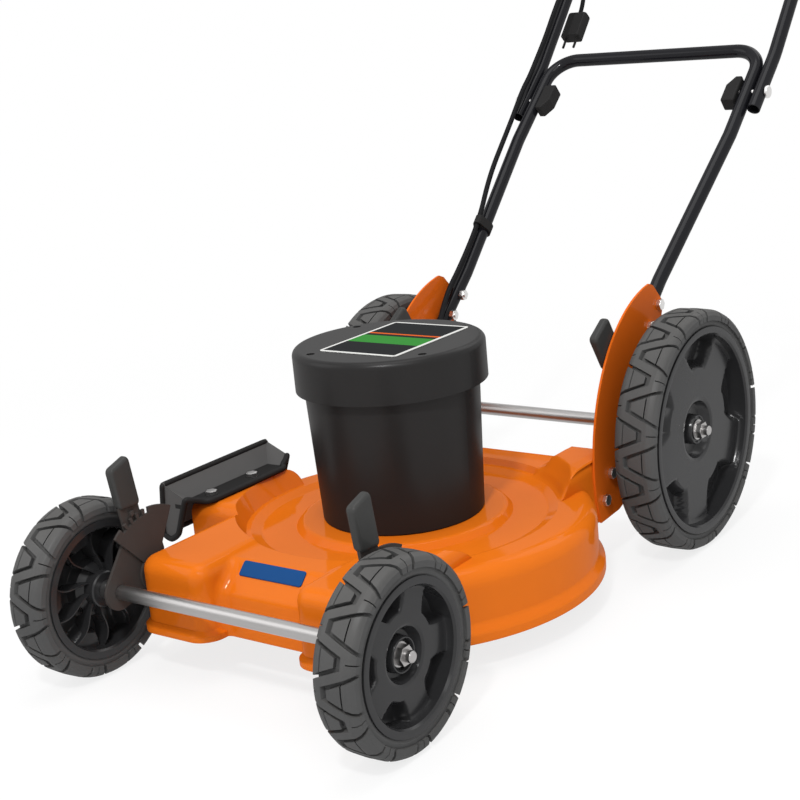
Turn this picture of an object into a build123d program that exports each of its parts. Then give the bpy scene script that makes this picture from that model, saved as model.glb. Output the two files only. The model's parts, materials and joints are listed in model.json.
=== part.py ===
from build123d import *
import os
from math import atan2, cos, degrees, hypot, radians, sin, sqrt, tan

# Electric rotary lawn mower. Millimetres, +Z up, front of the mower towards -Y.
# The origin is on the ground, on the axis of the motor and the blade.

# Wheels and axles
front_wheel_radius = 103.0
front_wheel_width = 50.0
front_wheel_face = 242.0
front_lip_radius = 80.0
rear_wheel_radius = 154.0
rear_wheel_width = 54.0
rear_wheel_face = 255.0
rear_lip_radius = 132.0
front_axle_y = -315.0
rear_axle_y = 312.0
axle_radius = 6.35
tyre_seat_step = 4.0
rim_wall = 6.0
front_disc_recess = 13.0
rear_disc_recess = 8.0
disc_thickness = 5.0
hub_recess_radius = 17.0
hub_recess_depth = 8.0
hub_radius = 21.0
bush_radius = 10.0
window_count = 5
front_window_height = 20.0
rear_window_height = 30.0
window_low_half = 20.0
window_high_half = 26.0
window_round = 7.0
rib_count = 10
rib_thickness = 3.0
rib_sweep = 9.0
lip_thickness = 2.5
lip_inset = 1.5
front_tread_pitches = 10
rear_tread_pitches = 14
tread_depth = 5.5
tread_groove = 6.5
tread_tip = 3.5
tread_gap = 11.0
tread_cross = 0.14
tread_spread = 0.36

# Fits
run_clearance = 0.06
seat_clearance = 0.1
side_clearance = 0.4

# Pressed steel deck
deck_sheet = 2.0
rim_z = 36.0
rim_radius = 239.0
bowl_radius = 232.0
flare_z = 56.0
flare_height = 9.0
deck_top_z = 117.0
shoulder_radius = 20.0
ring_floor_z = 112.0
ring_outer_radius = 174.0
ring_rise = 13.0
pad_z = 120.5
pad_radius = 124.0
pad_slope = 8.0
front_half_width = 165.0
front_floor_z = 50.0
front_y = -292.0
front_recess_y = -264.0
front_lobe_x = 64.0
lobe_corner = 20.0
front_top_z = 137.0
front_centre_z = 131.0
slope_z = 101.0
slope_run = 30.0
slope_round = 12.0
crease_round = 14.0
front_round = 17.0
front_corner = 22.0
pocket_radius = 190.0
pocket_slope = 14.0
rear_half_width = 163.5
rear_y = 232.0
rear_top_z = 146.0
rear_floor_z = 62.0
ear_width = 66.0
saddle_z = 125.0
tunnel_x = -236.0
tunnel_front_y = -126.0
tunnel_rear_y = 36.0
tunnel_top_z = 140.0
lip_flare = 6.0
shaft_hole_radius = 22.0

# Fasteners
bolt_radius = 4.0
bolt_head_across = 13.0
bolt_head_height = 5.3
nut_height = 6.5

# Discharge hood
hood_sheet = 3.0
hood_bead = 7.0
hood_front_y = -148.0
hood_rear_y = 46.0
hood_foot = 33.0
hood_crest_z = 166.0
hood_crest_reach = 22.0
hood_drop_z = 102.0
hood_reach = 30.0
hood_cheek = 36.0
hood_cheek_z = 150.0
hood_ramp = 24.0
hood_bolt_y = -62.0
hood_bolt_pitch = 76.0

# Motor
housing_top_radius = 105.0
housing_wall = 3.0
housing_base_radius = 98.0
housing_top_z = 284.0
cap_radius = 115.0
cap_skirt_z = 281.0
cap_top_z = 331.0
cap_round = 8.0
cap_wall = 3.5
cap_rib_count = 6
cap_screw_circle = 98.0
cap_screw_count = 4
cap_screw_turn = 60.0
flange_thickness = 3.0
flange_inner_radius = 74.0
frame_radius = 67.0
frame_wall = 5.0
frame_base = 12.0
frame_base_radius = 90.0
frame_top_z = 246.0
bell_thickness = 14.0
motor_bolt_circle = 82.0
motor_bolt_count = 4
stator_base_z = 162.0
stator_height = 62.0
stator_bore = 38.0
winding_height = 16.0
winding_width = 19.0
air_gap = 0.5
shaft_radius = 8.5
shaft_top_z = 296.0
bearing_radius = 20.0
bearing_width = 12.0
fan_radius = 86.0
fan_thickness = 3.0
fan_blade_height = 16.0
fan_blade_count = 8
fan_z = 268.0
capacitor_radius = 12.0
capacitor_height = 70.0

# Blade
blade_length = 444.0
blade_width = 56.0
blade_thickness = 4.0
blade_z = 62.0
blade_bevel = 14.0
wing_length = 70.0
wing_height = 16.0
hub_flange_radius = 34.0
hub_flange_thickness = 8.0
hub_barrel_radius = 17.0
blade_bolt_radius = 5.0
blade_washer_radius = 26.0

# Height adjusters
lever_thickness = 4.0
lever_gap = 0.5
quadrant_thickness = 3.5
quadrant_radius = 78.0
notch_count = 5
notch_step = 7.5
notch_depth = 7.0
notch_width = 6.0
arm_length = 53.0
eye_radius = 21.0
strip_width = 28.0
knee_drop = 62.0
grip_width = 42.0
grip_height = 56.0
grip_thickness = 12.0
grip_round = 4.5
grip_socket = 34.0
front_lever_lean = 8.0
front_grip_y = -289.0
front_grip_z = 222.0
rear_lever_lean = 31.0
rear_grip_y = 236.0
rear_grip_z = 279.0
swing_limit = 15.0
spacer_radius = 11.0
washer_radius = 13.0
washer_thickness = 1.8
axle_nut_across = 19.0
axle_nut_height = 8.0
axle_tail = 8.0

# Rear side brackets
bracket_thickness = 3.0

# Handle
tube_radius = 9.5
tube_wall = 1.5
handle_angle = 40.5
handle_bolt_y = 337.0
handle_bolt_z = 279.0
handle_bolt_pitch = 36.0
leg_tail = 16.0
leg_x = 154.0
splay_start = 75.0
splay_end = 330.0
joint_x = 172.0
joint_distance = 409.0
crossbar_distance = 492.0
handle_bend = 42.0
tube_gap = 1.0
upper_tail = 32.0
upper_straight = 70.0
upper_angle = 48.0
upper_length = 490.0
upper_bend = 160.0
grip_bend = 60.0
handle_grip_radius = 14.0
handle_grip_length = 250.0
fold_bolt_radius = 4.0
fold_head_radius = 9.0
fold_head_height = 4.5
knob_length = 46.0
knob_height = 22.0
knob_depth = 20.0
knob_slope = 16.0
knob_round = 2.5

# Switch and cords
switch_distance = 304.0
switch_length = 130.0
switch_width = 54.0
switch_drop = 30.0
switch_rise = 27.0
switch_round = 8.0
lever_pad_length = 62.0
lever_pad_width = 24.0
lever_pad_thickness = 9.0
button_radius = 7.0
button_travel = 4.0
button_proud = 7.0
lead_radius = 3.75
pigtail_radius = 3.5
plug_distance = 94.0
plug_drop = 47.0
gland_length = 24.0
gland_radius = 8.5
plug_width = 34.0
plug_depth = 20.0
plug_height = 46.0
pin_radius = 2.0
pin_length = 19.0
pin_spacing = 19.0
clip_distance = 158.0
clip_length = 14.0
clip_wall = 3.0
clip_play = 0.8

# Places worked out from the sizes above
front_axle_z = front_wheel_radius
rear_axle_z = rear_wheel_radius
front_pivot_y = front_axle_y + arm_length
front_pivot_z = front_axle_z + 6.0
rear_pivot_y = rear_axle_y - arm_length
rear_pivot_z = rear_axle_z - 4.0
front_lever_x = front_half_width + quadrant_thickness + lever_gap
bracket_x = rear_half_width
rear_lever_x = bracket_x - quadrant_thickness - lever_gap - lever_thickness
bolt_hole = bolt_radius + seat_clearance
leg_direction = (0, cos(radians(handle_angle)), sin(radians(handle_angle)))
leg_normal = (0, -leg_direction[2], leg_direction[1])
joint_y = handle_bolt_y + joint_distance * leg_direction[1]
joint_z = handle_bolt_z + joint_distance * leg_direction[2]
upper_x = joint_x + 2 * tube_radius + tube_gap
upper_direction = (0, cos(radians(upper_angle)), sin(radians(upper_angle)))


os.makedirs("parts", exist_ok=True)


def export(name, shape):
    export_step(shape, "parts/" + name + ".step")


def group(shapes):
    return Compound(children=[solid for shape in shapes for solid in shape.solids()])


def both_sides(shape):
    return group([shape, mirror(shape, about=Plane.YZ)])


def rod_x(x0, x1, y, z, radius):
    return extrude(Plane.YZ.offset(x0) * Pos(y, z) * Circle(radius), amount=x1 - x0)


def rod_z(z0, z1, x, y, radius):
    return extrude(Plane.XY.offset(z0) * Pos(x, y) * Circle(radius), amount=z1 - z0)


def hex_x(x0, x1, y, z, across):
    outline = RegularPolygon(across / 2, 6, major_radius=False)
    return extrude(Plane.YZ.offset(x0) * Pos(y, z) * outline, amount=x1 - x0)


def hex_z(z0, z1, x, y, across):
    outline = RegularPolygon(across / 2, 6, major_radius=False)
    return extrude(Plane.XY.offset(z0) * Pos(x, y) * outline, amount=z1 - z0)


def plate_x(x0, thickness, outline):
    return extrude(Plane.YZ.offset(x0) * outline, amount=thickness)


def bolt_x(head_x, nut_x, y, z):
    """Hexagon bolt along X with its head seated at head_x and its nut at nut_x."""
    way = 1 if nut_x > head_x else -1
    shank = rod_x(head_x, nut_x + way * (nut_height + 2), y, z, bolt_radius)
    head = hex_x(head_x - way * bolt_head_height, head_x, y, z, bolt_head_across)
    nut = hex_x(nut_x, nut_x + way * nut_height, y, z, bolt_head_across)
    return shank + head + nut


def bolt_z(head_z, nut_z, x, y):
    """Hexagon bolt along Z with its head on top at head_z and its nut at nut_z."""
    shank = rod_z(nut_z - nut_height - 2, head_z, x, y, bolt_radius)
    head = hex_z(head_z, head_z + bolt_head_height, x, y, bolt_head_across)
    nut = hex_z(nut_z - nut_height, nut_z, x, y, bolt_head_across)
    return shank + head + nut


def soften(face, points, radius):
    """Round the corners of a flat face that lie at the given points."""
    for point in points:
        corner = face.vertices().sort_by_distance((point[0], point[1], 0))[0]
        face = fillet(corner, radius)
    return face


# Deck: each form is made at its outer size, then again drawn in by the sheet for the hollow
def bowl(inset):
    floor = rim_z - inset
    top = deck_top_z - inset
    wall = bowl_radius - inset
    profile = make_face(
        Polyline(
            (0, floor),
            (0, pad_z - inset),
            (pad_radius, pad_z - inset),
            (pad_radius + pad_slope, ring_floor_z - inset),
            (ring_outer_radius, ring_floor_z - inset),
            (ring_outer_radius + ring_rise, top),
            (wall, top),
            (wall, flare_z),
            (rim_radius - inset, flare_z - flare_height),
            (rim_radius - inset, floor),
            close=True,
        )
    )
    profile = soften(profile, [(wall, top)], shoulder_radius - inset)
    profile = soften(profile, [(wall, flare_z), (rim_radius - inset, flare_z - flare_height)], 6)
    profile = soften(profile, [(pad_radius, pad_z - inset), (ring_outer_radius, ring_floor_z - inset)], 7)
    return revolve(Plane.XZ * profile, Axis.Z)


def pocket(inset):
    """Sloping round wall that keeps the raised forms clear of the ring round the motor."""
    low = pocket_radius + inset
    height = rear_top_z - ring_floor_z
    cone = Cone(low, low + pocket_slope * height / 25, height, align=(Align.CENTER, Align.CENTER, Align.MIN))
    return Pos(0, 0, ring_floor_z - inset) * cone


def front_lobe(side, inset):
    """Raised lobe beside the recessed front, with rounded corners and a rounded top edge."""
    outer = front_half_width - inset
    inner = front_lobe_x + inset
    front = front_y + inset
    plan = make_face(Polyline((inner, -100), (inner, front), (outer, front), (outer, -100), close=True))
    plan = soften(plan, [(outer, front)], front_corner - inset)
    plan = soften(plan, [(inner, front)], lobe_corner - inset)
    block = extrude(Plane.XY.offset(front_floor_z - inset) * plan, amount=front_top_z - front_floor_z)
    crown = block.faces().sort_by(Axis.Z)[-1].edges().filter_by(lambda edge: edge.center().Y < -101)
    block = fillet(crown, front_round - inset)
    return block if side > 0 else mirror(block, about=Plane.YZ)


def front_centre(inset):
    """Recessed middle of the front, with a slope that leads down to its wall."""
    front = front_recess_y + inset
    top = front_centre_z - inset
    low = slope_z - inset / 2
    profile = make_face(
        Polyline(
            (-100, front_floor_z - inset),
            (-100, top),
            (front + slope_run, top),
            (front, low),
            (front, front_floor_z - inset),
            close=True,
        )
    )
    profile = soften(profile, [(front + slope_run, top), (front, low)], slope_round)
    half = front_lobe_x + lobe_corner + 6
    return extrude(Plane.YZ.offset(-half) * profile, amount=2 * half)


def front_form(inset):
    form = front_centre(inset) + front_lobe(1, inset) + front_lobe(-1, inset)
    creases = [edge for edge in form.edges().filter_by(Axis.Z)
               if abs(abs(edge.center().X) - front_lobe_x - inset) < 0.01
               and edge.center().Y < front_recess_y + 5]
    return fillet(creases, crease_round + inset)


def front_lip():
    """Turned-out lower edge under the two lobes."""
    lips = []
    for side in (-1, 1):
        middle = (front_half_width + front_lobe_x) / 2
        half = (front_half_width - front_lobe_x) / 2
        block = Pos(side * middle, front_y + 60 - lip_flare, front_floor_z) * Box(
            2 * (half + lip_flare), 120, 2 * lip_flare, align=(Align.CENTER, Align.CENTER, Align.MIN))
        block = fillet(block.edges().filter_by(Axis.Z), front_corner + lip_flare)
        lips.append(chamfer(block.faces().sort_by(Axis.Z)[-1].edges(), lip_flare - 0.5))
    return lips[0] + lips[1]


def rear_form(inset):
    half = rear_half_width - inset
    length = rear_y - 100 - inset
    ears = []
    for side in (-1, 1):
        ear = Pos(side * (rear_half_width - ear_width / 2), 100 + length / 2, rear_floor_z - inset) * Box(
            ear_width - 2 * inset, length, rear_top_z - rear_floor_z,
            align=(Align.CENTER, Align.CENTER, Align.MIN))
        crown = ear.faces().sort_by(Axis.Z)[-1].edges()
        ears.append(fillet(crown, front_round - inset))
    saddle = Pos(0, 100 + length / 2, rear_floor_z - inset) * Box(
        2 * half, length, saddle_z - rear_floor_z, align=(Align.CENTER, Align.CENTER, Align.MIN))
    return saddle + ears


def tunnel_form(inset):
    """Raised discharge tunnel on the left side, open at its outer end."""
    reach = -tunnel_x + (10 if inset else 0)
    length = tunnel_rear_y - tunnel_front_y - 2 * inset
    body = Pos(-reach, (tunnel_front_y + tunnel_rear_y) / 2, rim_z + 12 - inset) * Box(
        reach - 80, length, tunnel_top_z - rim_z - 12,
        align=(Align.MIN, Align.CENTER, Align.MIN))
    sides = body.edges().filter_by(Axis.X).sort_by(Axis.Z)[-2:]
    return fillet(sides, front_round - inset)


def deck_mass(inset):
    raised = front_form(inset) + rear_form(inset) + tunnel_form(inset) - pocket(inset)
    return bowl(inset) + raised


bracket_bolts = [(196.0, 88.0), (214.0, 118.0)]
quadrant_tail_y = front_pivot_y + 46.0
hood_bolt_x = tunnel_x + 13.0
hood_bolts = [(hood_bolt_x, hood_bolt_y + side * hood_bolt_pitch / 2) for side in (-1, 1)]
motor_bolts = [(loc.position.X, loc.position.Y) for loc in
               PolarLocations(motor_bolt_circle, motor_bolt_count, start_angle=45)]

deck_outer = deck_mass(0)
deck = deck_outer + (front_lip() - deck_outer) - deck_mass(deck_sheet)
deck_holes = [rod_z(ring_floor_z - 10, pad_z + 10, 0, 0, shaft_hole_radius)]
deck_holes += [rod_z(pad_z - 10, pad_z + 10, x, y, bolt_hole) for x, y in motor_bolts]
deck_holes += [rod_z(tunnel_top_z - 10, tunnel_top_z + 10, x, y, bolt_hole) for x, y in hood_bolts]
for side in (-1, 1):
    wall = side * rear_half_width
    deck_holes += [rod_x(wall - 10, wall + 10, y, z, bolt_hole) for y, z in bracket_bolts]
    wall = side * front_half_width
    deck_holes.append(rod_x(wall - 10, wall + 10, front_pivot_y, front_pivot_z, bolt_hole))
    deck_holes.append(rod_x(wall - 10, wall + 10, quadrant_tail_y, front_axle_z, bolt_hole))
deck = deck - deck_holes
export("deck", deck)


# Discharge hood: bolted flange, ramps up to both ends, sloping panel, outer wall and two cheeks
hood_z = tunnel_top_z + hood_sheet / 2
crease_x = tunnel_x - 2
flange_x = tunnel_x + hood_foot
crest_x = tunnel_x - hood_crest_reach
drop_x = tunnel_x - hood_reach
hood_length = hood_rear_y - hood_front_y
hood_mid_y = (hood_rear_y + hood_front_y) / 2
panel = SlotArc(Line((crease_x, hood_z), (crest_x, hood_crest_z)), hood_sheet)
wall = SlotArc(Line((crest_x, hood_crest_z), (drop_x, hood_drop_z)), hood_sheet)
hood = extrude(Plane.XZ.offset(-hood_front_y) * (panel + wall), amount=-hood_length)
flange = Pos((crease_x + flange_x) / 2, hood_mid_y, hood_z) * Box(
    flange_x - crease_x, hood_length - 2 * hood_ramp, hood_sheet)
hood += fillet(flange.edges().filter_by(Axis.Z).sort_by(Axis.X)[-2:], hood_ramp / 2)
cheek_x = crest_x + hood_cheek


def hood_strip(y, x0, z0, x1, z1):
    """Upright section of the sheet between two points, seen from the front."""
    half = hood_sheet / 2
    return Plane.XZ.offset(-y) * make_face(
        Polyline((x0, z0 - half), (x1, z1 - half), (x1, z1 + half), (x0, z0 + half), close=True))


def hood_end(side):
    """Ramp from the flange up to one end of the hood, and the cheek that hangs from it."""
    end_y = hood_mid_y + side * hood_length / 2
    ramp = loft([
        hood_strip(end_y - side * hood_ramp, crease_x, hood_z, flange_x - hood_ramp / 2, hood_z),
        hood_strip(end_y, crest_x, hood_crest_z, cheek_x, hood_cheek_z),
    ])
    cheek = make_face(
        Polyline(
            (crest_x, hood_crest_z),
            (drop_x, hood_drop_z),
            (drop_x + hood_cheek / 3, hood_drop_z - 6),
            (cheek_x - hood_cheek / 2, hood_drop_z + 4),
            (cheek_x, hood_cheek_z),
            close=True,
        )
    )
    cheek = soften(cheek, [(cheek_x, hood_cheek_z)], 6)
    return ramp + extrude(Plane.XZ.offset(-end_y) * cheek, amount=side * hood_sheet)


hood += hood_end(-1) + hood_end(1)
for x, z in ((crest_x, hood_crest_z), (drop_x, hood_drop_z)):
    hood += Pos(x, hood_mid_y, z) * Rot(90, 0, 0) * Cylinder(hood_bead / 2, hood_length)
hood -= [rod_z(tunnel_top_z - 1, tunnel_top_z + 10, x, y, bolt_hole) for x, y in hood_bolts]
export("discharge_hood", hood)


# Wheels: built round the X axis on the right side, then moved to the axle
def ring_x(x0, x1, inner, outer):
    return extrude(Plane.YZ.offset(x0) * (Circle(outer) - Circle(inner)), amount=x1 - x0)


def make_tread_recess(width, spread):
    """V-shaped recess that opens at the shoulder, round an island with a blunt tip."""
    edge = width / 2 + 2
    apex = -width * tread_cross
    tip = apex + tread_gap
    narrow = tread_tip / 2
    recess = make_face(
        Polyline((apex, -narrow), (edge, -spread), (edge, spread), (apex, narrow), close=True))
    island = make_face(
        Polyline(
            (tip, -tread_tip),
            (edge + 1, tread_groove - spread),
            (edge + 1, spread - tread_groove),
            (tip, tread_tip),
            close=True,
        )
    )
    return recess - island


def make_tyre(face_x, width, radius, lip, pitches):
    inner = face_x - width
    centre = face_x - width / 2
    seat = lip - tyre_seat_step
    wall = lip_inset + lip_thickness
    half = [
        (width / 2 - wall, seat),
        (width / 2 - wall, lip),
        (width / 2 - lip_inset, lip + 2),
        (width / 2, radius - 10),
        (width / 2 - 1.5, radius - 4),
        (width / 2 - 6, radius - 1),
    ]
    sides = Polyline([(centre + x, r) for x, r in half])
    others = Polyline([(centre - x, r) for x, r in half])
    crown = ThreePointArc(sides @ 1, (centre, radius), others @ 1)
    floor = Line(sides @ 0, others @ 0)
    body = revolve(make_face([sides, others, crown, floor]), Axis.X)
    step = 360 / pitches
    recess = make_tread_recess(width, radius * radians(step) * tread_spread)
    cutter = extrude(Plane.XY.offset(radius - tread_depth) * recess, amount=2 * tread_depth)
    cutters = []
    for index in range(pitches):
        for side in (-1, 1):
            turn = Rot(step * (index + 0.25 * side), 0, 0)
            cutters.append(Pos(centre, 0, 0) * turn * Rot(0, 0, 90 - 90 * side) * cutter)
    return body - cutters


def polar(radius, angle):
    return (radius * cos(radians(angle)), radius * sin(radians(angle)))


def make_window(low, high):
    """Window beside the rim: straight inner edge, flared sides, round outer edge."""
    corners = [polar(low, -window_low_half), polar(high, -window_high_half),
               polar(high, window_high_half), polar(low, window_low_half)]
    edges = [
        Line(corners[0], corners[1]),
        ThreePointArc(corners[1], polar(high, 0), corners[2]),
        Line(corners[2], corners[3]),
        Line(corners[3], corners[0]),
    ]
    face = soften(make_face(edges), [corners[0], corners[3]], window_round)
    return soften(face, [corners[1], corners[2]], window_round / 2)


def make_rim(face_x, width, lip, recess, window_height):
    inner = face_x - width
    seat = lip - tyre_seat_step
    barrel = seat - rim_wall
    disc_x = face_x - recess
    rim = ring_x(inner + lip_inset, face_x - lip_inset, barrel, seat)
    rim += ring_x(face_x - lip_inset - lip_thickness, face_x - lip_inset, barrel, lip)
    rim += ring_x(inner + lip_inset, inner + lip_inset + lip_thickness, barrel, lip)
    rim += rod_x(disc_x - disc_thickness, disc_x, 0, 0, barrel + 1)
    rim += rod_x(inner, disc_x + 2, 0, 0, hub_radius)
    ribs = []
    for index in range(rib_count):
        turn = 360 / rib_count * index
        low = hub_radius - 2
        high = barrel + 1
        middle = (low + high) / 2
        arc = ThreePointArc(
            (low * cos(radians(turn)), low * sin(radians(turn))),
            (middle * cos(radians(turn + rib_sweep)), middle * sin(radians(turn + rib_sweep))),
            (high * cos(radians(turn)), high * sin(radians(turn))),
        )
        ribs.append(plate_x(inner + 7, disc_x - disc_thickness - inner - 6.5, SlotArc(arc, rib_thickness)))
    rim = rim + ribs
    window = make_window(barrel - 1 - window_height, barrel - 1)
    windows = []
    for index in range(window_count):
        turned = Rot(0, 0, 90 + 360 / window_count * index) * window
        windows.append(plate_x(disc_x - disc_thickness - 1, disc_thickness + 3, turned))
    recess_cut = rod_x(disc_x - hub_recess_depth, disc_x + 5, 0, 0, hub_recess_radius)
    bore = rod_x(inner - 1, disc_x, 0, 0, bush_radius)
    return rim - windows - recess_cut - bore


def make_bush(face_x, width, recess):
    hub_face = face_x - recess - hub_recess_depth
    return ring_x(face_x - width, hub_face, axle_radius + run_clearance, bush_radius)


def place_wheel(name, parts, y, z):
    for kind, shape in parts.items():
        moved = Pos(0, y, z) * shape
        export(name + "_right_" + kind, moved)
        export(name + "_left_" + kind, mirror(moved, about=Plane.YZ))


front_wheel = {
    "tyre": make_tyre(front_wheel_face, front_wheel_width, front_wheel_radius, front_lip_radius,
                      front_tread_pitches),
    "rim": make_rim(front_wheel_face, front_wheel_width, front_lip_radius, front_disc_recess,
                    front_window_height),
    "bush": make_bush(front_wheel_face, front_wheel_width, front_disc_recess),
}
place_wheel("front", front_wheel, front_axle_y, front_axle_z)
rear_wheel = {
    "tyre": make_tyre(rear_wheel_face, rear_wheel_width, rear_wheel_radius, rear_lip_radius,
                      rear_tread_pitches),
    "rim": make_rim(rear_wheel_face, rear_wheel_width, rear_lip_radius, rear_disc_recess,
                    rear_window_height),
    "bush": make_bush(rear_wheel_face, rear_wheel_width, rear_disc_recess),
}
place_wheel("rear", rear_wheel, rear_axle_y, rear_axle_z)


# Axles with their washers, nuts and spacers
def make_axle(face_x, recess, y, z):
    hub_face = face_x - recess - hub_recess_depth
    end = hub_face + side_clearance + washer_thickness + axle_nut_height + axle_tail
    rod = rod_x(-end, end, y, z, axle_radius)
    return chamfer(rod.edges(), 1.2)


def make_axle_fittings(face_x, width, recess, spacer_start, y, z):
    hub_end = face_x - recess - hub_recess_depth + side_clearance
    nut_x = hub_end + washer_thickness
    hole = rod_x(0, face_x, y, z, axle_radius)
    washer = rod_x(hub_end, nut_x, y, z, washer_radius) - hole
    nut = hex_x(nut_x, nut_x + axle_nut_height, y, z, axle_nut_across) - hole
    spacer = rod_x(spacer_start, face_x - width - side_clearance, y, z, spacer_radius) - hole
    return both_sides(group([washer, nut, spacer]))


export("front_axle", make_axle(front_wheel_face, front_disc_recess, front_axle_y, front_axle_z))
export("rear_axle", make_axle(rear_wheel_face, rear_disc_recess, rear_axle_y, rear_axle_z))
front_spacer_x = front_lever_x + lever_thickness
rear_spacer_x = bracket_x + bracket_thickness + 2 * lever_gap
export("front_axle_fittings", make_axle_fittings(
    front_wheel_face, front_wheel_width, front_disc_recess, front_spacer_x, front_axle_y, front_axle_z))
export("rear_axle_fittings", make_axle_fittings(
    rear_wheel_face, rear_wheel_width, rear_disc_recess, rear_spacer_x, rear_axle_y, rear_axle_z))


# Height adjusters: lever with axle eye, pivot hole and grip, beside a notched quadrant
def tab_angle(grip_y, grip_z, pivot_y, pivot_z, lean_angle):
    """Angle about the pivot at which the lever strip crosses the notched edge."""
    y = grip_y - pivot_y
    z = grip_z - pivot_z
    along = (-sin(radians(lean_angle)), cos(radians(lean_angle)))
    dot = y * along[0] + z * along[1]
    step = -dot + sqrt(dot * dot - y * y - z * z + quadrant_radius * quadrant_radius)
    return degrees(atan2(z + step * along[1], y + step * along[0]))


def make_lever(x0, axle, pivot, grip, lean_angle, tab_x):
    knee = Pos(*grip) * Rot(0, 0, lean_angle) * Pos(0, -knee_drop)
    arm = make_hull((Pos(*axle) * Circle(eye_radius)).edges() + (Pos(*pivot) * Circle(eye_radius - 5)).edges()
                    + (knee * Circle(strip_width / 2)).edges())
    reach = hypot(grip[0] - pivot[0], grip[1] - pivot[1])
    strip = Pos(*grip) * Rot(0, 0, lean_angle) * Rectangle(
        strip_width, reach, align=(Align.CENTER, Align.MAX))
    tip = Pos(*grip) * Rot(0, 0, lean_angle) * Rectangle(
        strip_width, grip_socket / 2, align=(Align.CENTER, Align.MIN))
    outline = arm + strip + tip
    outline -= Pos(*axle) * Circle(axle_radius)
    outline -= Pos(*pivot) * Circle(bolt_radius + run_clearance)
    lever = plate_x(x0, lever_thickness, outline)
    angle = tab_angle(grip[0], grip[1], pivot[0], pivot[1], lean_angle)
    tab = Pos(*pivot) * Rot(0, 0, angle) * Pos(quadrant_radius + 1, 0) * Rectangle(
        5, notch_width - 1, align=(Align.MIN, Align.CENTER))
    low = min(tab_x, x0)
    high = max(tab_x, x0 + lever_thickness)
    return lever + plate_x(low, high - low, tab)


def make_grip(x_mid, x_lever, grip, lean_angle):
    place = Pos(0, grip[0], grip[1]) * Rot(lean_angle, 0, 0)
    body = Pos(x_mid, 0, 0) * Box(grip_thickness, grip_width, grip_height)
    body = fillet(body.edges().filter_by(Axis.X), 7)
    sides = body.faces().sort_by(Axis.X)
    body = fillet(sides[0].edges() + sides[-1].edges(), grip_round)
    slot = Pos(x_lever + lever_thickness / 2, 0, grip_socket / 2) * Box(
        lever_thickness, strip_width, grip_height + grip_socket, align=(Align.CENTER, Align.CENTER, Align.MAX))
    return place * (body - slot)


def make_quadrant(x0, pivot, angle, before, after, tail):
    start = angle - before
    first = (quadrant_radius * cos(radians(start)), quadrant_radius * sin(radians(start)))
    edge = CenterArc((0, 0), quadrant_radius, start, before + after)
    sector = make_face([Line((0, 0), first), edge, Line(edge @ 1, (0, 0))])
    outline = sector + Circle(22)
    if tail:
        outline += make_hull(Circle(22).edges() + (Pos(*tail) * Circle(14)).edges())
        outline -= Pos(*tail) * Circle(bolt_hole)
    for index in range(notch_count):
        turn = angle + notch_step * (index - (notch_count - 1) / 2)
        outline -= Rot(0, 0, turn) * Pos(quadrant_radius, 0) * Rectangle(2 * notch_depth, notch_width)
    outline -= Circle(bolt_hole)
    return plate_x(x0, quadrant_thickness, Pos(*pivot) * outline)


front_axle = (front_axle_y, front_axle_z)
front_pivot = (front_pivot_y, front_pivot_z)
front_grip = (front_grip_y, front_grip_z)
rear_axle = (rear_axle_y, rear_axle_z)
rear_pivot = (rear_pivot_y, rear_pivot_z)
rear_grip = (rear_grip_y, rear_grip_z)
front_tab = tab_angle(*front_grip, *front_pivot, front_lever_lean)
rear_tab = tab_angle(*rear_grip, *rear_pivot, rear_lever_lean)
front_tail = (quadrant_tail_y - front_pivot_y, front_axle_z - front_pivot_z)
export("front_levers", both_sides(make_lever(
    front_lever_x, front_axle, front_pivot, front_grip, front_lever_lean, front_half_width)))
export("rear_levers", both_sides(make_lever(
    rear_lever_x, rear_axle, rear_pivot, rear_grip, rear_lever_lean, bracket_x - lever_gap)))
export("front_grips", both_sides(make_grip(
    front_lever_x + lever_thickness / 2, front_lever_x, front_grip, front_lever_lean)))
rear_grip_x = bracket_x - 2 * lever_gap - grip_thickness / 2
export("rear_grips", both_sides(make_grip(rear_grip_x, rear_lever_x, rear_grip, rear_lever_lean)))
front_quadrant = make_quadrant(front_half_width, front_pivot, front_tab, 44, 27, front_tail)
export("front_quadrants", both_sides(front_quadrant))
export("rear_quadrants", both_sides(make_quadrant(
    bracket_x - quadrant_thickness, rear_pivot, rear_tab, 28, 28, None)))


# Rear side brackets between the deck, the rear axle pivot and the handle
bracket_front = Spline((184, 61), (175, 130), (209, 245), (342, 334))
bracket_rest = Polyline((342, 334), (352, 330), (378, 303), (372, 288), (354, 205), (346, 128), (300, 88),
                        (231, 64), (184, 61))
bracket_outline = make_face([bracket_front, bracket_rest])
bracket_outline = soften(bracket_outline, [(346, 128)], 12)
bracket_outline = soften(bracket_outline, [(352, 330), (378, 303), (372, 288)], 5)
axle_sweep = degrees(atan2(rear_axle_z - rear_pivot_z, rear_axle_y - rear_pivot_y))
slot_path = CenterArc(rear_pivot, hypot(rear_axle_y - rear_pivot_y, rear_axle_z - rear_pivot_z),
                      axle_sweep - swing_limit - 2, 2 * swing_limit + 4)
bracket_outline -= SlotArc(slot_path, 2 * axle_radius + 4)
bracket_outline -= Pos(*rear_pivot) * Circle(bolt_hole)
for y, z in bracket_bolts:
    bracket_outline -= Pos(y, z) * Circle(bolt_hole)
handle_bolts = [(handle_bolt_y + s * leg_direction[1], handle_bolt_z + s * leg_direction[2])
                for s in (0, handle_bolt_pitch)]
for y, z in handle_bolts:
    bracket_outline -= Pos(y, z) * Circle(bolt_hole)
bracket = plate_x(bracket_x, bracket_thickness, bracket_outline)
export("rear_bracket_right", bracket)
export("rear_bracket_left", mirror(bracket, about=Plane.YZ))


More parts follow.
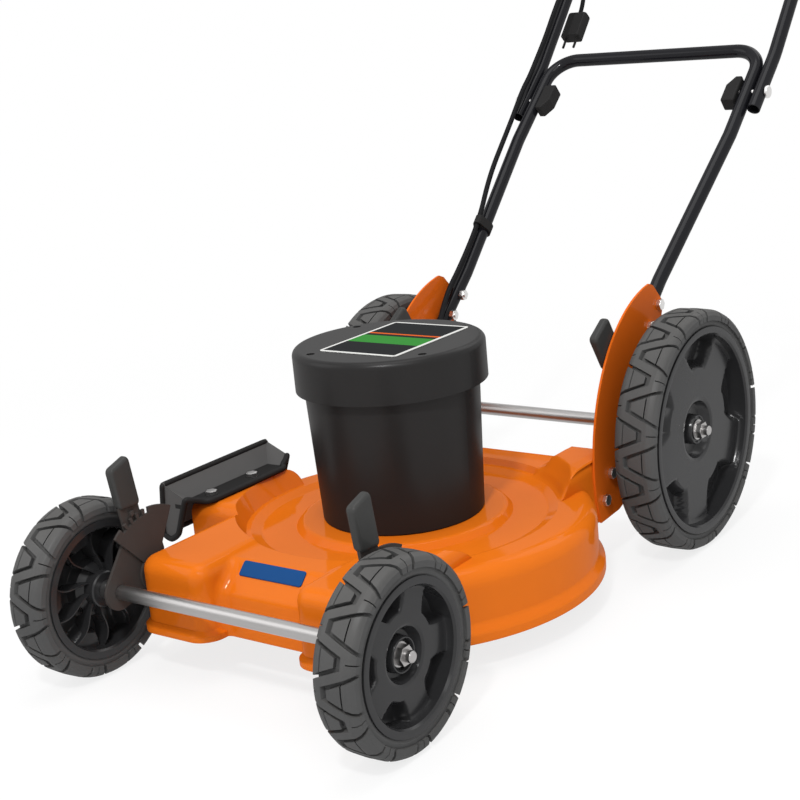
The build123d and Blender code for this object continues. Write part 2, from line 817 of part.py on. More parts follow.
# Bolts of the frame
lever_face = front_lever_x + lever_thickness
frame_bolts = [
    bolt_x(lever_face + side_clearance, front_half_width - deck_sheet, *front_pivot),
    bolt_x(front_half_width + quadrant_thickness, front_half_width - deck_sheet, quadrant_tail_y, front_axle_z),
    bolt_x(bracket_x + bracket_thickness, rear_lever_x - side_clearance, *rear_pivot),
]
for y, z in bracket_bolts:
    frame_bolts.append(bolt_x(bracket_x + bracket_thickness, rear_half_width - deck_sheet, y, z))
for y, z in handle_bolts:
    frame_bolts.append(bolt_x(bracket_x + bracket_thickness, leg_x - tube_radius, y, z))
frame_bolts = [both_sides(group(frame_bolts))]
for x, y in hood_bolts:
    frame_bolts.append(bolt_z(tunnel_top_z + hood_sheet, tunnel_top_z - deck_sheet, x, y))
export("frame_bolts", group(frame_bolts))


# Motor: housing, cap, frame, stator, bearings
def housing_radius(z):
    share = (z - pad_z) / (housing_top_z - pad_z)
    return housing_base_radius + (housing_top_radius - housing_base_radius) * share


flange_z = pad_z + flange_thickness
shell = make_face(
    Polyline(
        (flange_inner_radius, pad_z),
        (housing_base_radius, pad_z),
        (housing_top_radius, housing_top_z),
        (housing_top_radius - housing_wall, housing_top_z),
        (housing_radius(flange_z) - housing_wall, flange_z),
        (flange_inner_radius, flange_z),
        close=True,
    )
)
housing = revolve(Plane.XZ * soften(shell, [(housing_base_radius, pad_z)], 2), Axis.Z)
screw_places = [(loc.position.X, loc.position.Y) for loc in
                PolarLocations(cap_screw_circle, cap_screw_count, start_angle=cap_screw_turn)]
lug_radius = 6.5
screw_radius = 2.4
screw_depth = 16.0
outside = Pos(0, 0, pad_z) * Cone(
    housing_base_radius - 1, housing_top_radius - 1, housing_top_z - pad_z,
    align=(Align.CENTER, Align.CENTER, Align.MIN))
for x, y in screw_places:
    lug = rod_z(housing_top_z - 22, housing_top_z, x, y, lug_radius)
    housing += lug & outside
housing -= [rod_z(housing_top_z - screw_depth, housing_top_z + 1, x, y, screw_radius)
            for x, y in screw_places]
housing -= [rod_z(pad_z - 1, flange_z + 1, x, y, bolt_hole) for x, y in motor_bolts]
gland_z = 170.0
gland_y = housing_radius(gland_z)
gland_seat = 8.0
gland_cut = Pos(0, gland_y, gland_z) * Rot(90, 0, 0) * Cylinder(gland_seat, 40)
housing -= gland_cut
export("motor_housing", housing)

cap_profile = make_face(
    Polyline(
        (0, cap_top_z),
        (cap_radius, cap_top_z),
        (cap_radius, cap_skirt_z),
        (cap_radius - cap_wall, cap_skirt_z),
        (cap_radius - cap_wall, cap_top_z - cap_wall),
        (0, cap_top_z - cap_wall),
        close=True,
    )
)
cap_profile = soften(cap_profile, [(cap_radius, cap_top_z)], cap_round)
cap_profile = soften(cap_profile, [(cap_radius - cap_wall, cap_top_z - cap_wall)], cap_round - cap_wall)
cap = revolve(Plane.XZ * cap_profile, Axis.Z)
for index in range(cap_rib_count):
    rib = Pos(cap_radius - cap_wall - 5.5, 0, (housing_top_z + cap_top_z - 2) / 2) * Box(
        13, cap_wall, cap_top_z - 2 - housing_top_z)
    cap += Rot(0, 0, 360 / cap_rib_count * (index + 0.5)) * rib
for x, y in screw_places:
    cap += rod_z(housing_top_z, cap_top_z - 1, x, y, lug_radius)
head_recess = 5.0
head_radius = 4.6
head_height = 3.0
cap -= [rod_z(cap_top_z - head_recess, cap_top_z + 1, x, y, head_radius + 0.4) for x, y in screw_places]
cap -= [rod_z(housing_top_z - 1, cap_top_z, x, y, screw_radius + seat_clearance) for x, y in screw_places]
export("motor_cap", cap)

motor_screws = []
base_top_z = flange_z + frame_base
for x, y in motor_bolts:
    motor_screws.append(bolt_z(base_top_z, pad_z - deck_sheet, x, y))
for x, y in screw_places:
    seat_z = cap_top_z - head_recess
    screw = rod_z(housing_top_z - screw_depth + 2, seat_z + 1, x, y, screw_radius)
    screw += rod_z(seat_z, seat_z + head_height, x, y, head_radius)
    screw -= Pos(x, y, seat_z + head_height) * Box(7, 1.2, 2)
    screw -= Pos(x, y, seat_z + head_height) * Box(1.2, 7, 2)
    motor_screws.append(screw)
export("motor_screws", group(motor_screws))

lower_bearing_z = base_top_z - bearing_width / 2
bearing_land = 3.0
frame = rod_z(flange_z, base_top_z, 0, 0, frame_base_radius)
frame += rod_z(flange_z, lower_bearing_z + bearing_width, 0, 0, bearing_radius + 6)
frame += rod_z(base_top_z - 1, frame_top_z, 0, 0, frame_radius) - rod_z(
    base_top_z - 2, frame_top_z + 1, 0, 0, frame_radius - frame_wall)
frame -= rod_z(lower_bearing_z, frame_top_z, 0, 0, bearing_radius)
frame -= rod_z(flange_z - 1, frame_top_z, 0, 0, bearing_radius - bearing_land)
frame -= [rod_z(flange_z - 1, base_top_z + 1, x, y, bolt_hole) for x, y in motor_bolts]
export("motor_frame", frame)

bell = rod_z(frame_top_z, frame_top_z + bell_thickness, 0, 0, frame_radius)
bell -= rod_z(frame_top_z - 1, frame_top_z + bearing_width, 0, 0, bearing_radius)
bell -= rod_z(frame_top_z - 1, frame_top_z + bell_thickness + 1, 0, 0, bearing_radius - bearing_land)
bell -= [rod_z(frame_top_z - 1, frame_top_z + bell_thickness + 1, loc.position.X, loc.position.Y, 9)
         for loc in PolarLocations(44, 6)]
export("upper_end_bell", bell)

stator_radius = frame_radius - frame_wall
stator = rod_z(stator_base_z, stator_base_z + stator_height, 0, 0, stator_radius)
stator -= rod_z(stator_base_z - 1, stator_base_z + stator_height + 1, 0, 0, stator_bore)
export("stator_core", stator)
winding_inner = stator_bore + 3
winding_outer = winding_inner + winding_width
windings = []
for z in (stator_base_z - winding_height, stator_base_z + stator_height):
    turn = rod_z(z, z + winding_height, 0, 0, winding_outer)
    turn -= rod_z(z - 1, z + winding_height + 1, 0, 0, winding_inner)
    windings.append(fillet(turn.edges(), 4))
export("stator_windings", group(windings))
bearings = []
for z in (lower_bearing_z, frame_top_z):
    ring = rod_z(z, z + bearing_width, 0, 0, bearing_radius)
    groove = rod_z(z + bearing_width - 1, z + bearing_width + 1, 0, 0, 16.5) - rod_z(
        z, z + bearing_width + 2, 0, 0, 12)
    ring -= groove
    bearings.append(ring - rod_z(z - 1, z + bearing_width + 1, 0, 0, shaft_radius + run_clearance))
export("motor_bearings", group(bearings))
capacitor_place = frame_radius + capacitor_radius + seat_clearance
capacitor = rod_z(base_top_z, base_top_z + capacitor_height, capacitor_place, 0, capacitor_radius)
capacitor = fillet(capacitor.edges().sort_by(Axis.Z)[-1], 2)
export("run_capacitor", capacitor)

# Gland on the back of the housing, with its seat through the wall
gland_axis = Plane(origin=(0, gland_y - 6, gland_z), x_dir=(1, 0, 0), z_dir=(0, 1, 0))
gland = extrude(gland_axis * Circle(gland_seat), amount=8)
gland_nut = extrude(gland_axis.offset(6.5) * RegularPolygon(10, 6, major_radius=False), amount=8)
gland += gland_nut
gland += extrude(gland_axis.offset(14) * Circle(gland_seat), amount=10, taper=12)
gland -= extrude(gland_axis.offset(-1) * Circle(lead_radius), amount=40)
export("cable_gland", gland)


# Rotor with the fan above the motor and the blade under the deck
hub_flange_z = blade_z + blade_thickness
hub_seat_z = hub_flange_z + hub_flange_thickness
hub_top_z = ring_floor_z
bolt_bore = 26.0
shaft = rod_z(hub_seat_z, shaft_top_z, 0, 0, shaft_radius)
shaft = chamfer(shaft.edges(), 1)
shaft -= rod_z(hub_seat_z - 1, hub_seat_z + bolt_bore, 0, 0, blade_bolt_radius)
export("rotor_shaft", shaft)
core = rod_z(stator_base_z, stator_base_z + stator_height, 0, 0, stator_bore - air_gap)
core = chamfer(core.edges(), 1) - rod_z(0, shaft_top_z, 0, 0, shaft_radius)
export("rotor_core", core)
fan = rod_z(fan_z, fan_z + fan_thickness, 0, 0, fan_radius)
fan += rod_z(fan_z - 4, fan_z + fan_blade_height + 6, 0, 0, 2 * shaft_radius)
for index in range(fan_blade_count):
    vane = Pos((fan_radius + 2 * shaft_radius) / 2 + 6, 0, fan_z + fan_blade_height / 2 + 1) * Box(
        fan_radius - 2 * shaft_radius - 16, fan_thickness, fan_blade_height + 2)
    fan += Rot(0, 0, 360 / fan_blade_count * index) * vane
fan -= rod_z(0, cap_top_z, 0, 0, shaft_radius)
export("cooling_fan", fan)
blade_hub = rod_z(hub_flange_z, hub_seat_z, 0, 0, hub_flange_radius)
blade_hub += rod_z(hub_seat_z - 1, hub_top_z, 0, 0, hub_barrel_radius)
blade_hub -= rod_z(hub_seat_z, hub_top_z + 1, 0, 0, shaft_radius)
blade_hub -= rod_z(0, hub_top_z, 0, 0, blade_bolt_radius)
export("blade_hub", blade_hub)
blade_plan = RectangleRounded(blade_length, blade_width, 6)
blade = extrude(Plane.XY.offset(blade_z) * blade_plan, amount=blade_thickness)
trailing_y = blade_width / 2 - 10
wing = make_face(
    Polyline(
        (trailing_y, blade_z),
        (trailing_y + blade_thickness * 1.3, blade_z),
        (trailing_y + 12, blade_z + wing_height),
        (trailing_y + 12 - blade_thickness * 1.2, blade_z + wing_height),
        (trailing_y - 2, blade_z + blade_thickness),
        (trailing_y - 2, blade_z),
        close=True,
    )
)
bevel = make_face(
    Polyline(
        (-blade_width / 2 - 1, blade_z + 0.6),
        (-blade_width / 2 - 1, blade_z + blade_thickness + 1),
        (-blade_width / 2 + blade_bevel, blade_z + blade_thickness + 1),
        (-blade_width / 2 + blade_bevel, blade_z + blade_thickness),
        (-blade_width / 2, blade_z + 0.6),
        close=True,
    )
)
for turn in (0, 180):
    end = Pos(blade_length / 2 - wing_length / 2, trailing_y + 15, blade_z) * Box(wing_length + 1, 30, 30)
    blade -= Rot(0, 0, turn) * end
    wing_plane = Plane.YZ.offset(blade_length / 2 - wing_length)
    bevel_plane = Plane.YZ.offset(blade_length / 2 - 1.4 * wing_length)
    blade += Rot(0, 0, turn) * extrude(wing_plane * wing, amount=wing_length)
    blade -= Rot(0, 0, turn) * extrude(bevel_plane * bevel, amount=2 * wing_length)
blade -= rod_z(0, hub_seat_z, 0, 0, blade_bolt_radius)
export("cutting_blade", blade)
washer_z = blade_z - 4
blade_bolt = rod_z(washer_z, hub_seat_z + bolt_bore - 2, 0, 0, blade_bolt_radius)
blade_bolt += rod_z(washer_z, blade_z, 0, 0, blade_washer_radius)
blade_bolt += hex_z(washer_z - 7, washer_z, 0, 0, 17)
export("blade_bolt", blade_bolt)


# Lower handle: one tube, splayed legs and a crossbar
handle_plane = Plane(origin=(0, handle_bolt_y, handle_bolt_z), x_dir=(1, 0, 0), z_dir=leg_normal)
side_run = [(leg_x, -leg_tail), (leg_x, splay_start), (joint_x, splay_end), (joint_x, crossbar_distance)]
run = side_run + [(-x, s) for x, s in reversed(side_run)]
lower_path = handle_plane * FilletPolyline(run, radius=[120, 120, handle_bend, handle_bend, 120, 120])


def tube(path, radius, wall):
    start = Plane(origin=path @ 0, z_dir=path % 0)
    section = Circle(radius) - Circle(radius - wall) if wall else Circle(radius)
    return sweep(start * section, path)


lower_handle = tube(lower_path, tube_radius, tube_wall)
cuts = []
for side in (-1, 1):
    for y, z in handle_bolts:
        cuts.append(rod_x(side * leg_x - 20, side * leg_x + 20, y, z, bolt_radius))
    cuts.append(rod_x(side * joint_x - 20, side * joint_x + 20, joint_y, joint_z, fold_bolt_radius))
lower_handle -= cuts
export("lower_handle", lower_handle)

upper_low = Vector(0, joint_y, joint_z) - Vector(*leg_direction) * upper_tail
upper_knee = Vector(0, joint_y, joint_z) + Vector(*leg_direction) * upper_straight
upper_top = upper_knee + Vector(*upper_direction) * upper_length
upper_run = [Vector(upper_x, 0, 0) + point for point in (upper_low, upper_knee, upper_top)]
upper_run += [Vector(-p.X, p.Y, p.Z) for p in reversed(upper_run)]
upper_path = FilletPolyline(upper_run, radius=[upper_bend, grip_bend, grip_bend, upper_bend])
upper_handle = tube(upper_path, tube_radius, tube_wall)
upper_handle -= [rod_x(side * upper_x - 20, side * upper_x + 20, joint_y, joint_z, fold_bolt_radius + run_clearance)
                 for side in (-1, 1)]
export("upper_handle", upper_handle)
grip_end = handle_grip_length / 2
grip_sleeve = rod_x(-grip_end, grip_end, upper_top.Y, upper_top.Z, handle_grip_radius)
grip_sleeve = fillet(grip_sleeve.edges(), 3)
grip_sleeve -= rod_x(-handle_grip_length, handle_grip_length, upper_top.Y, upper_top.Z, tube_radius)
export("handle_grip", grip_sleeve)

# Fold joint: carriage bolts from outside, knobs inside
head_x = upper_x + tube_radius + side_clearance
knob_x = joint_x - tube_radius - side_clearance
knob_bore = 16.0
fold_bolt = rod_x(knob_x - knob_bore + 2, head_x + 1, joint_y, joint_z, fold_bolt_radius)
fold_bolt += fillet(rod_x(head_x, head_x + fold_head_height, joint_y, joint_z, fold_head_radius)
                    .edges().sort_by(Axis.X)[-1], 3)
export("fold_bolts", both_sides(fold_bolt))
knob_outline = make_face(
    Polyline(
        (0, -knob_length / 2),
        (-knob_depth, -knob_length / 2),
        (-knob_depth, knob_length / 2 - knob_slope),
        (-knob_depth / 2, knob_length / 2),
        (0, knob_length / 2),
        close=True,
    )
)
knob = fillet(extrude(knob_outline, amount=knob_height / 2, both=True).edges(), knob_round)
knob -= Rot(0, 90, 0) * Cylinder(fold_bolt_radius + run_clearance, 2 * knob_bore)
knob = Plane(origin=(knob_x, joint_y, joint_z), x_dir=(1, 0, 0), z_dir=leg_normal) * knob
export("fold_knob_right", knob)
turned_knob = knob.rotate(Axis((0, joint_y, joint_z), (1, 0, 0)), 180)
export("fold_knob_left", mirror(turned_knob, about=Plane.YZ))


# Switch box clamped round the left leg of the upper handle
switch_centre = Vector(-upper_x, 0, 0) + upper_knee + Vector(*upper_direction) * switch_distance
switch_normal = (0, -upper_direction[2], upper_direction[1])
switch_plane = Plane(origin=switch_centre, x_dir=(1, 0, 0), z_dir=switch_normal)
leg_hole = Rot(90, 0, 0) * Cylinder(tube_radius, 2 * switch_length)
base = Pos(0, 0, -switch_drop / 2) * Box(switch_width, switch_length, switch_drop)
base = fillet(base.edges().filter_by(Axis.Z) + base.faces().sort_by(Axis.Z)[0].edges(), switch_round)
gland_drop = 20.0
gland_face = -switch_length / 2
gland_end = gland_face - gland_length + 6
gland_middle = Pos(0, (gland_end + gland_face + 6) / 2, -gland_drop)
gland_rod = gland_middle * Rot(90, 0, 0) * Cylinder(gland_radius, gland_length)
cord_seat = 10.0
cord_hole = Pos(0, gland_end, -gland_drop) * Rot(90, 0, 0) * Cylinder(pigtail_radius, 2 * cord_seat)
export("switch_base", switch_plane * (base - leg_hole + gland_rod - cord_hole))

cover = Pos(0, 0, switch_rise / 2) * Box(switch_width, switch_length, switch_rise)
cover = fillet(cover.edges().filter_by(Axis.Z) + cover.faces().sort_by(Axis.Z)[-1].edges(), switch_round)
pad_pin_radius = 2.0
pad_floor = 12.0
pad_y = -switch_length / 2 + 22
pad_pin_z = switch_rise - 2.5
pad_slot = Pos(0, pad_y + lever_pad_length / 2 - lever_pad_thickness / 4, pad_floor) * Box(
    lever_pad_width + 2 * side_clearance, lever_pad_length + lever_pad_thickness + 2, 40,
    align=(Align.CENTER, Align.CENTER, Align.MIN))
button_y = switch_length / 2 - 20
button_hole = Pos(0, button_y, pad_floor) * Cylinder(
    button_radius + run_clearance, 40, align=(Align.CENTER, Align.CENTER, Align.MIN))
lead_rise = tube_radius + lead_radius + 2.75
lead_hole = Pos(0, -switch_length / 2, lead_rise) * Rot(90, 0, 0) * Cylinder(lead_radius, 16)
pin_place = Pos(0, pad_y, pad_pin_z) * Rot(0, 90, 0)
pin_hole = pin_place * Cylinder(pad_pin_radius + run_clearance, lever_pad_width + 12)
cover = switch_plane * (cover - leg_hole - pad_slot - button_hole - lead_hole - pin_hole)
export("switch_cover", cover)
pad_profile = Plane.YZ.offset(-lever_pad_width / 2) * make_hull(
    Circle(lever_pad_thickness / 2).edges()
    + (Pos(lever_pad_length - 8, 3) * Circle(lever_pad_thickness / 2)).edges())
pad = extrude(pad_profile, amount=lever_pad_width)
pad += Rot(0, 90, 0) * Cylinder(pad_pin_radius, lever_pad_width + 10)
export("switch_lever", switch_plane * Pos(0, pad_y, pad_pin_z) * pad)
button_z = pad_floor + button_travel + 1
button = Pos(0, button_y, button_z) * Cylinder(
    button_radius, switch_rise + button_proud - button_z, align=(Align.CENTER, Align.CENTER, Align.MIN))
button = fillet(button.edges().sort_by(Axis.Z)[-1], 2)
export("lock_button", switch_plane * button)


# Cords: straight runs joined by tangent arcs
def cord_radii(points):
    radii = []
    for before, at, after in zip(points, points[1:], points[2:]):
        come = at - before
        leave = after - at
        half = radians(come.get_angle(leave)) / 2
        radii.append(0.45 * min(come.length, leave.length) / tan(half))
    return radii


def cord(name, points, radius):
    points = [Vector(*p) for p in points]
    radii = cord_radii(points)
    print(name, "bend radii", [round(r, 1) for r in radii])
    return tube(FilletPolyline(points, radius=radii), radius, 0)


def on_lower_leg(s, rise, side):
    share = min(max((s - splay_start) / (splay_end - splay_start), 0), 1)
    x = leg_x + (joint_x - leg_x) * share
    p = handle_plane.from_local_coords((0, s, rise))
    return (-x + side, p.Y, p.Z)


def on_upper_leg(distance, rise, side):
    p = Vector(-upper_x + side, 0, 0) + upper_knee + Vector(*upper_direction) * distance
    p += Vector(*switch_normal) * rise
    return (p.X, p.Y, p.Z)


lead_offset = lead_rise
lead_start = (0, gland_y + 4, gland_z)
loop_before = on_lower_leg(242, lead_offset + 3, 0)
loop_start = on_lower_leg(320, lead_offset + 1, 0)
loop_end = on_upper_leg(6, lead_offset + 3.5, 0)
loop_after = on_upper_leg(46, lead_offset + 1.5, 0)


def beyond(before, at, distance):
    """Point past the second one, in line with both."""
    way = Vector(*at) - Vector(*before)
    p = Vector(*at) + way.normalized() * distance
    return (p.X, p.Y, p.Z)


motor_lead = cord("motor_lead", [
    lead_start,
    (0, gland_y + 52, gland_z),
    (-60, gland_y + 98, gland_z + 32),
    (-118, gland_y + 152, gland_z + 82),
    on_lower_leg(16, lead_offset + 4, 1),
    on_lower_leg(78, lead_offset + 1, 0),
    on_lower_leg(clip_distance, lead_offset, 0),
    loop_before,
    loop_start,
], lead_radius)
export("motor_lead", motor_lead)
fold_loop = cord("fold_loop", [
    loop_start,
    beyond(loop_before, loop_start, 44),
    on_lower_leg(408, lead_offset + 9, -10),
    beyond(loop_after, loop_end, 38),
    loop_end,
], lead_radius)
export("fold_loop", fold_loop)
switch_lead = cord("switch_lead", [
    loop_end,
    loop_after,
    on_upper_leg(92, lead_offset + 3, 0),
    on_upper_leg(148, lead_offset + 2, 0),
    on_upper_leg(200, lead_offset, 0),
    on_upper_leg(switch_distance - switch_length / 2 + 5, lead_offset, 0),
], lead_radius)
export("switch_lead", switch_lead)


# Short lead under the switch box, with a plug that lies along the leg
def under_leg(distance, drop):
    p = switch_plane.from_local_coords((0, distance, -drop))
    return (p.X, p.Y, p.Z)


plug_face = plug_distance - switch_distance
plug_top = plug_face + plug_height
plug_seat = 4.0
pigtail = cord("pigtail", [
    under_leg(gland_end + cord_seat, gland_drop),
    under_leg(gland_end - 16, gland_drop),
    under_leg(plug_top + 22, plug_drop),
    under_leg(plug_top - plug_seat, plug_drop),
], pigtail_radius)
export("pigtail", pigtail)
plug = Pos(0, 0, plug_height / 2) * Box(plug_width, plug_depth, plug_height)
plug = fillet(plug.edges().filter_by(Axis.Z), 6)
plug = fillet(plug.faces().sort_by(Axis.Z)[-1].edges(), 4)
for side in (-1, 1):
    pin = rod_z(-pin_length, 1, side * pin_spacing / 2, 0, pin_radius)
    plug += fillet(pin.edges().sort_by(Axis.Z)[0], 1.2)
plug -= rod_z(plug_height - plug_seat, plug_height + 1, 0, 0, pigtail_radius)
plug_plane = Plane(origin=under_leg(plug_face, plug_drop), x_dir=(1, 0, 0), z_dir=upper_direction)
export("plug", plug_plane * plug)

# Clip that holds the lead against the left leg
clip_point = on_lower_leg(clip_distance, 0, 0)
splay = degrees(atan2(joint_x - leg_x, splay_end - splay_start))
clip_plane = Plane(origin=clip_point, x_dir=(1, 0, 0), z_dir=leg_normal)
clip_outline = make_hull(Circle(tube_radius + clip_wall).edges()
                         + (Pos(0, lead_offset) * Circle(lead_radius + clip_wall)).edges())
clip_body = extrude(Plane.XZ.offset(-clip_length / 2) * clip_outline, amount=clip_length)
clip_body -= Rot(90, 0, 0) * Cylinder(tube_radius, 40)
clip_body -= Pos(0, 0, lead_offset) * Rot(90, 0, 0) * Cylinder(lead_radius + clip_play, 40)
export("cable_clip", clip_plane * Rot(0, 0, splay) * clip_body)
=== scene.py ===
import json
from math import atan2, cos, dist, hypot, pi, radians, sin

import bpy
import numpy
from bpy.props import FloatProperty, FloatVectorProperty, IntProperty, PointerProperty
from mathutils import Matrix, Vector
from mathutils.bvhtree import BVHTree


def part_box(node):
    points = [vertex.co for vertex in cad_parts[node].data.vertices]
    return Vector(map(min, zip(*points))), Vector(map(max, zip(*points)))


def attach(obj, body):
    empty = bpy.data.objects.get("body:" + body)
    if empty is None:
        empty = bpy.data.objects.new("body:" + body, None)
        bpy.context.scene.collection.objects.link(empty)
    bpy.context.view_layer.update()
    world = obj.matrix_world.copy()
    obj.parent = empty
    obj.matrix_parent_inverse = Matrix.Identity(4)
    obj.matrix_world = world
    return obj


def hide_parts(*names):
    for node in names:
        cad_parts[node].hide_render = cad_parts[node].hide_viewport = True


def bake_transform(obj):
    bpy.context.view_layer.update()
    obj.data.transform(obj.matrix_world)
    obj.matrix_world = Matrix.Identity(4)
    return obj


bl_info = {
    "name": "Lawn mower looks",
    "version": (1, 0, 0),
    "blender": (4, 5, 0),
    "location": "View3D > Sidebar > Mower",
    "description": "Dresses the packed lawn mower with finishes, cords and small parts",
    "category": "Object",
}

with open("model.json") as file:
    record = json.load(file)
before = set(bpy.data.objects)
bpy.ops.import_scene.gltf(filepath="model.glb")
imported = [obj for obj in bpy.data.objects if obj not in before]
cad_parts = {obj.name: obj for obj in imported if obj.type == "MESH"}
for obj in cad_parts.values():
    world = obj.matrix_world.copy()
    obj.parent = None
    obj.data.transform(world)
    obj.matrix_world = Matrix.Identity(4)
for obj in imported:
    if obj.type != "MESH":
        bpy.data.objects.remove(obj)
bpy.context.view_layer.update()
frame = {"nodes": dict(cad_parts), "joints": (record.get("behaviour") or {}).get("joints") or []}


# Settings that a user would change
def colour(name, words, value):
    return FloatVectorProperty(name=name, description=words, subtype="COLOR", size=3,
                               min=0.0, max=1.0, default=value)


def flat_size(name, words, value):
    return FloatVectorProperty(name=name, description=words, subtype="TRANSLATION", unit="LENGTH",
                               size=2, default=value)


def length(name, words, value, low=0.0):
    return FloatProperty(name=name, description=words, unit="LENGTH", default=value, min=low)


def power(name, words, value):
    return FloatProperty(name=name, description=words, unit="POWER", default=value, min=0.0)


def count(name, words, value, low):
    return IntProperty(name=name, description=words, default=value, min=low)


class MowerFinishes(bpy.types.PropertyGroup):
    deck: colour("Deck", "Paint of the pressed deck", (0.66, 0.145, 0.008))
    bracket: colour("Brackets", "Paint of the rear side brackets", (0.66, 0.125, 0.01))
    motor: colour("Motor", "Moulded plastic of the motor cover", (0.016, 0.0154, 0.0154))
    small: colour("Small plastic", "Beads, knobs, switch box and plug", (0.022, 0.0215, 0.0215))
    grip: colour("Grips", "Moulded plastic of the height grips", (0.046, 0.046, 0.045))
    hood: colour("Hood", "Moulded plastic of the discharge hood", (0.09, 0.088, 0.087))
    tyre: colour("Tyres", "Rubber of the tyres", (0.07, 0.07, 0.07))
    rim: colour("Rims", "Moulded plastic of the wheel rims", (0.022, 0.022, 0.023))
    plate: colour("Plates", "Paint of the height levers and quadrants", (0.056, 0.049, 0.046))
    tube: colour("Handle", "Gloss paint of the handle tubes", (0.008, 0.008, 0.01))
    cord: colour("Cords", "Sheath of the leads", (0.012, 0.012, 0.013))
    zinc: colour("Zinc", "Plated axles and screws", (0.4, 0.39, 0.385))
    # Plated steel like the zinc, made lighter as a painted highlight
    bolt_highlit: colour("Bolts", "Bright plated bolts of the frame", (0.68, 0.67, 0.66))
    accent: colour("Switch", "Switch lever and lock button", (0.42, 0.02, 0.012))


class MowerTrim(bpy.types.PropertyGroup):
    label: flat_size("Label", "Width and length of the blank label on the motor cap", (0.112, 0.152))
    badge: flat_size("Badge", "Width and height of the blank badge on the front slope", (0.09, 0.0185))
    fairing: count("Ear fairing", "How far the fillets round the ears reach, in steps", 160, 0)
    bead: length("Hood bead", "Radius of the black edge bead of the hood", 0.0038, 0.001)
    lead: length("Lead", "Radius of the motor lead", 0.00375)
    pigtail: length("Pigtail", "Radius of the plug's short cord", 0.0035)


class MowerWheels(bpy.types.PropertyGroup):
    front_pitches: count("Front pitches", "Tread pitches round a front tyre", 10, 4)
    rear_pitches: count("Rear pitches", "Tread pitches round a rear tyre", 14, 4)
    tread: length("Tread depth", "Height of the tread blocks over the carcass", 0.0055, 0.001)
    groove: length("Groove", "Width of the tread grooves along the tyre", 0.0042, 0.001)
    pocket: length("Pocket depth", "Depth of the five pockets in a rim's dish", 0.015, 0.001)
    rib: length("Rib", "Thickness of the curved ribs behind a rim's dish", 0.0016, 0.0005)


class MowerStage(bpy.types.PropertyGroup):
    lens: FloatProperty(name="Lens", description="Focal length of the camera", unit="CAMERA",
                        default=68.85, min=20.0, max=200.0)
    key: power("Key light", "Power of the main lamp", 30.0)
    fill: power("Fill light", "Power of the fill lamp and of the lamp behind", 22.0)
    top: power("Top light", "Power of the lamp overhead", 34.0)
    glint: power("Glint light", "Power of the small lamp that gives the paint its glints", 44.0)


def finishes():
    return bpy.context.scene.mower_finishes


def trim_sizes():
    return bpy.context.scene.mower_trim


# Shader helpers
# The Mix node has its colour sockets at these numbers
MIX_SHARE, MIX_UNDER, MIX_OVER, MIX_RESULT = 0, 6, 7, 2
COLUMN_STEP, ROW_STEP = 250, 300
DUST = (0.22, 0.205, 0.185)
BEVEL_SAMPLES = 4


def fill(tree, made, values):
    """Fills a node's inputs: a socket is linked, and anything else is set as the value."""
    for name, value in values.items():
        entry = made.inputs[name.replace("_", " ") if isinstance(name, str) else name]
        if isinstance(value, bpy.types.NodeSocket):
            tree.links.new(value, entry)
        else:
            entry.default_value = value


def node(tree, kind, *sources, **inputs):
    """New node with its inputs filled, in their order or by their names."""
    made = tree.nodes.new(kind)
    fill(tree, made, dict(enumerate(sources)))
    fill(tree, made, inputs)
    return made


def arrange(tree):
    """Lays a tree out in columns, each node left of those that it feeds."""
    columns = {made.name: 0 for made in tree.nodes}
    for _ in tree.nodes:
        for link in tree.links:
            start, end = link.from_node.name, link.to_node.name
            columns[start] = max(columns[start], columns[end] + 1)
    filled = []
    for made in tree.nodes:
        column = columns[made.name]
        made.location = (-COLUMN_STEP * column, -ROW_STEP * filled.count(column))
        filled.append(column)


def maths(tree, operation, first, second, clamp=False):
    made = node(tree, "ShaderNodeMath", first, second)
    made.operation = operation
    made.use_clamp = clamp
    return made.outputs["Value"]


def mixed(tree, share, under, over):
    """Colour between two, each a colour or a socket."""
    made = node(tree, "ShaderNodeMix")
    made.data_type = "RGBA"
    tones = [tone if isinstance(tone, bpy.types.NodeSocket) else (*tone, 1.0) for tone in (under, over)]
    fill(tree, made, {MIX_SHARE: share, MIX_UNDER: tones[0], MIX_OVER: tones[1]})
    return made.outputs[MIX_RESULT]


def object_place(tree):
    return node(tree, "ShaderNodeTexCoord").outputs["Object"]


def noise(tree, where, scale, detail, rough):
    return node(tree, "ShaderNodeTexNoise", Vector=where, Scale=scale, Detail=detail,
                Roughness=rough).outputs["Fac"]


def grain_group(tree, entry):
    """Fine moulded grain with slow blotches of tone."""
    where = object_place(tree)
    return {"Height": noise(tree, where, entry["Grain scale"], 3.0, 0.6),
            "Tone": noise(tree, where, entry["Blotch scale"], 4.0, 0.55)}


def dust_group(tree, entry):
    """Pale dust that lies on faces turned upwards, broken up by noise."""
    patch = noise(tree, object_place(tree), entry["Patch scale"], 6.0, 0.65)
    normal = node(tree, "ShaderNodeNewGeometry").outputs["Normal"]
    parts = node(tree, "ShaderNodeSeparateXYZ", normal)
    up = maths(tree, "MULTIPLY", parts.outputs["Z"], entry["Reach"], clamp=True)
    return {"Mask": maths(tree, "MULTIPLY", patch, up, clamp=True)}


def streak_group(tree, entry):
    """Fine drawn or rolled lines along one axis of the piece."""
    stretch = node(tree, "ShaderNodeMapping", Vector=object_place(tree), Scale=(0.02, 1.0, 1.0))
    lines = noise(tree, stretch.outputs["Vector"], entry["Line scale"], 4.0, 0.6)
    return {"Height": lines, "Tone": lines}


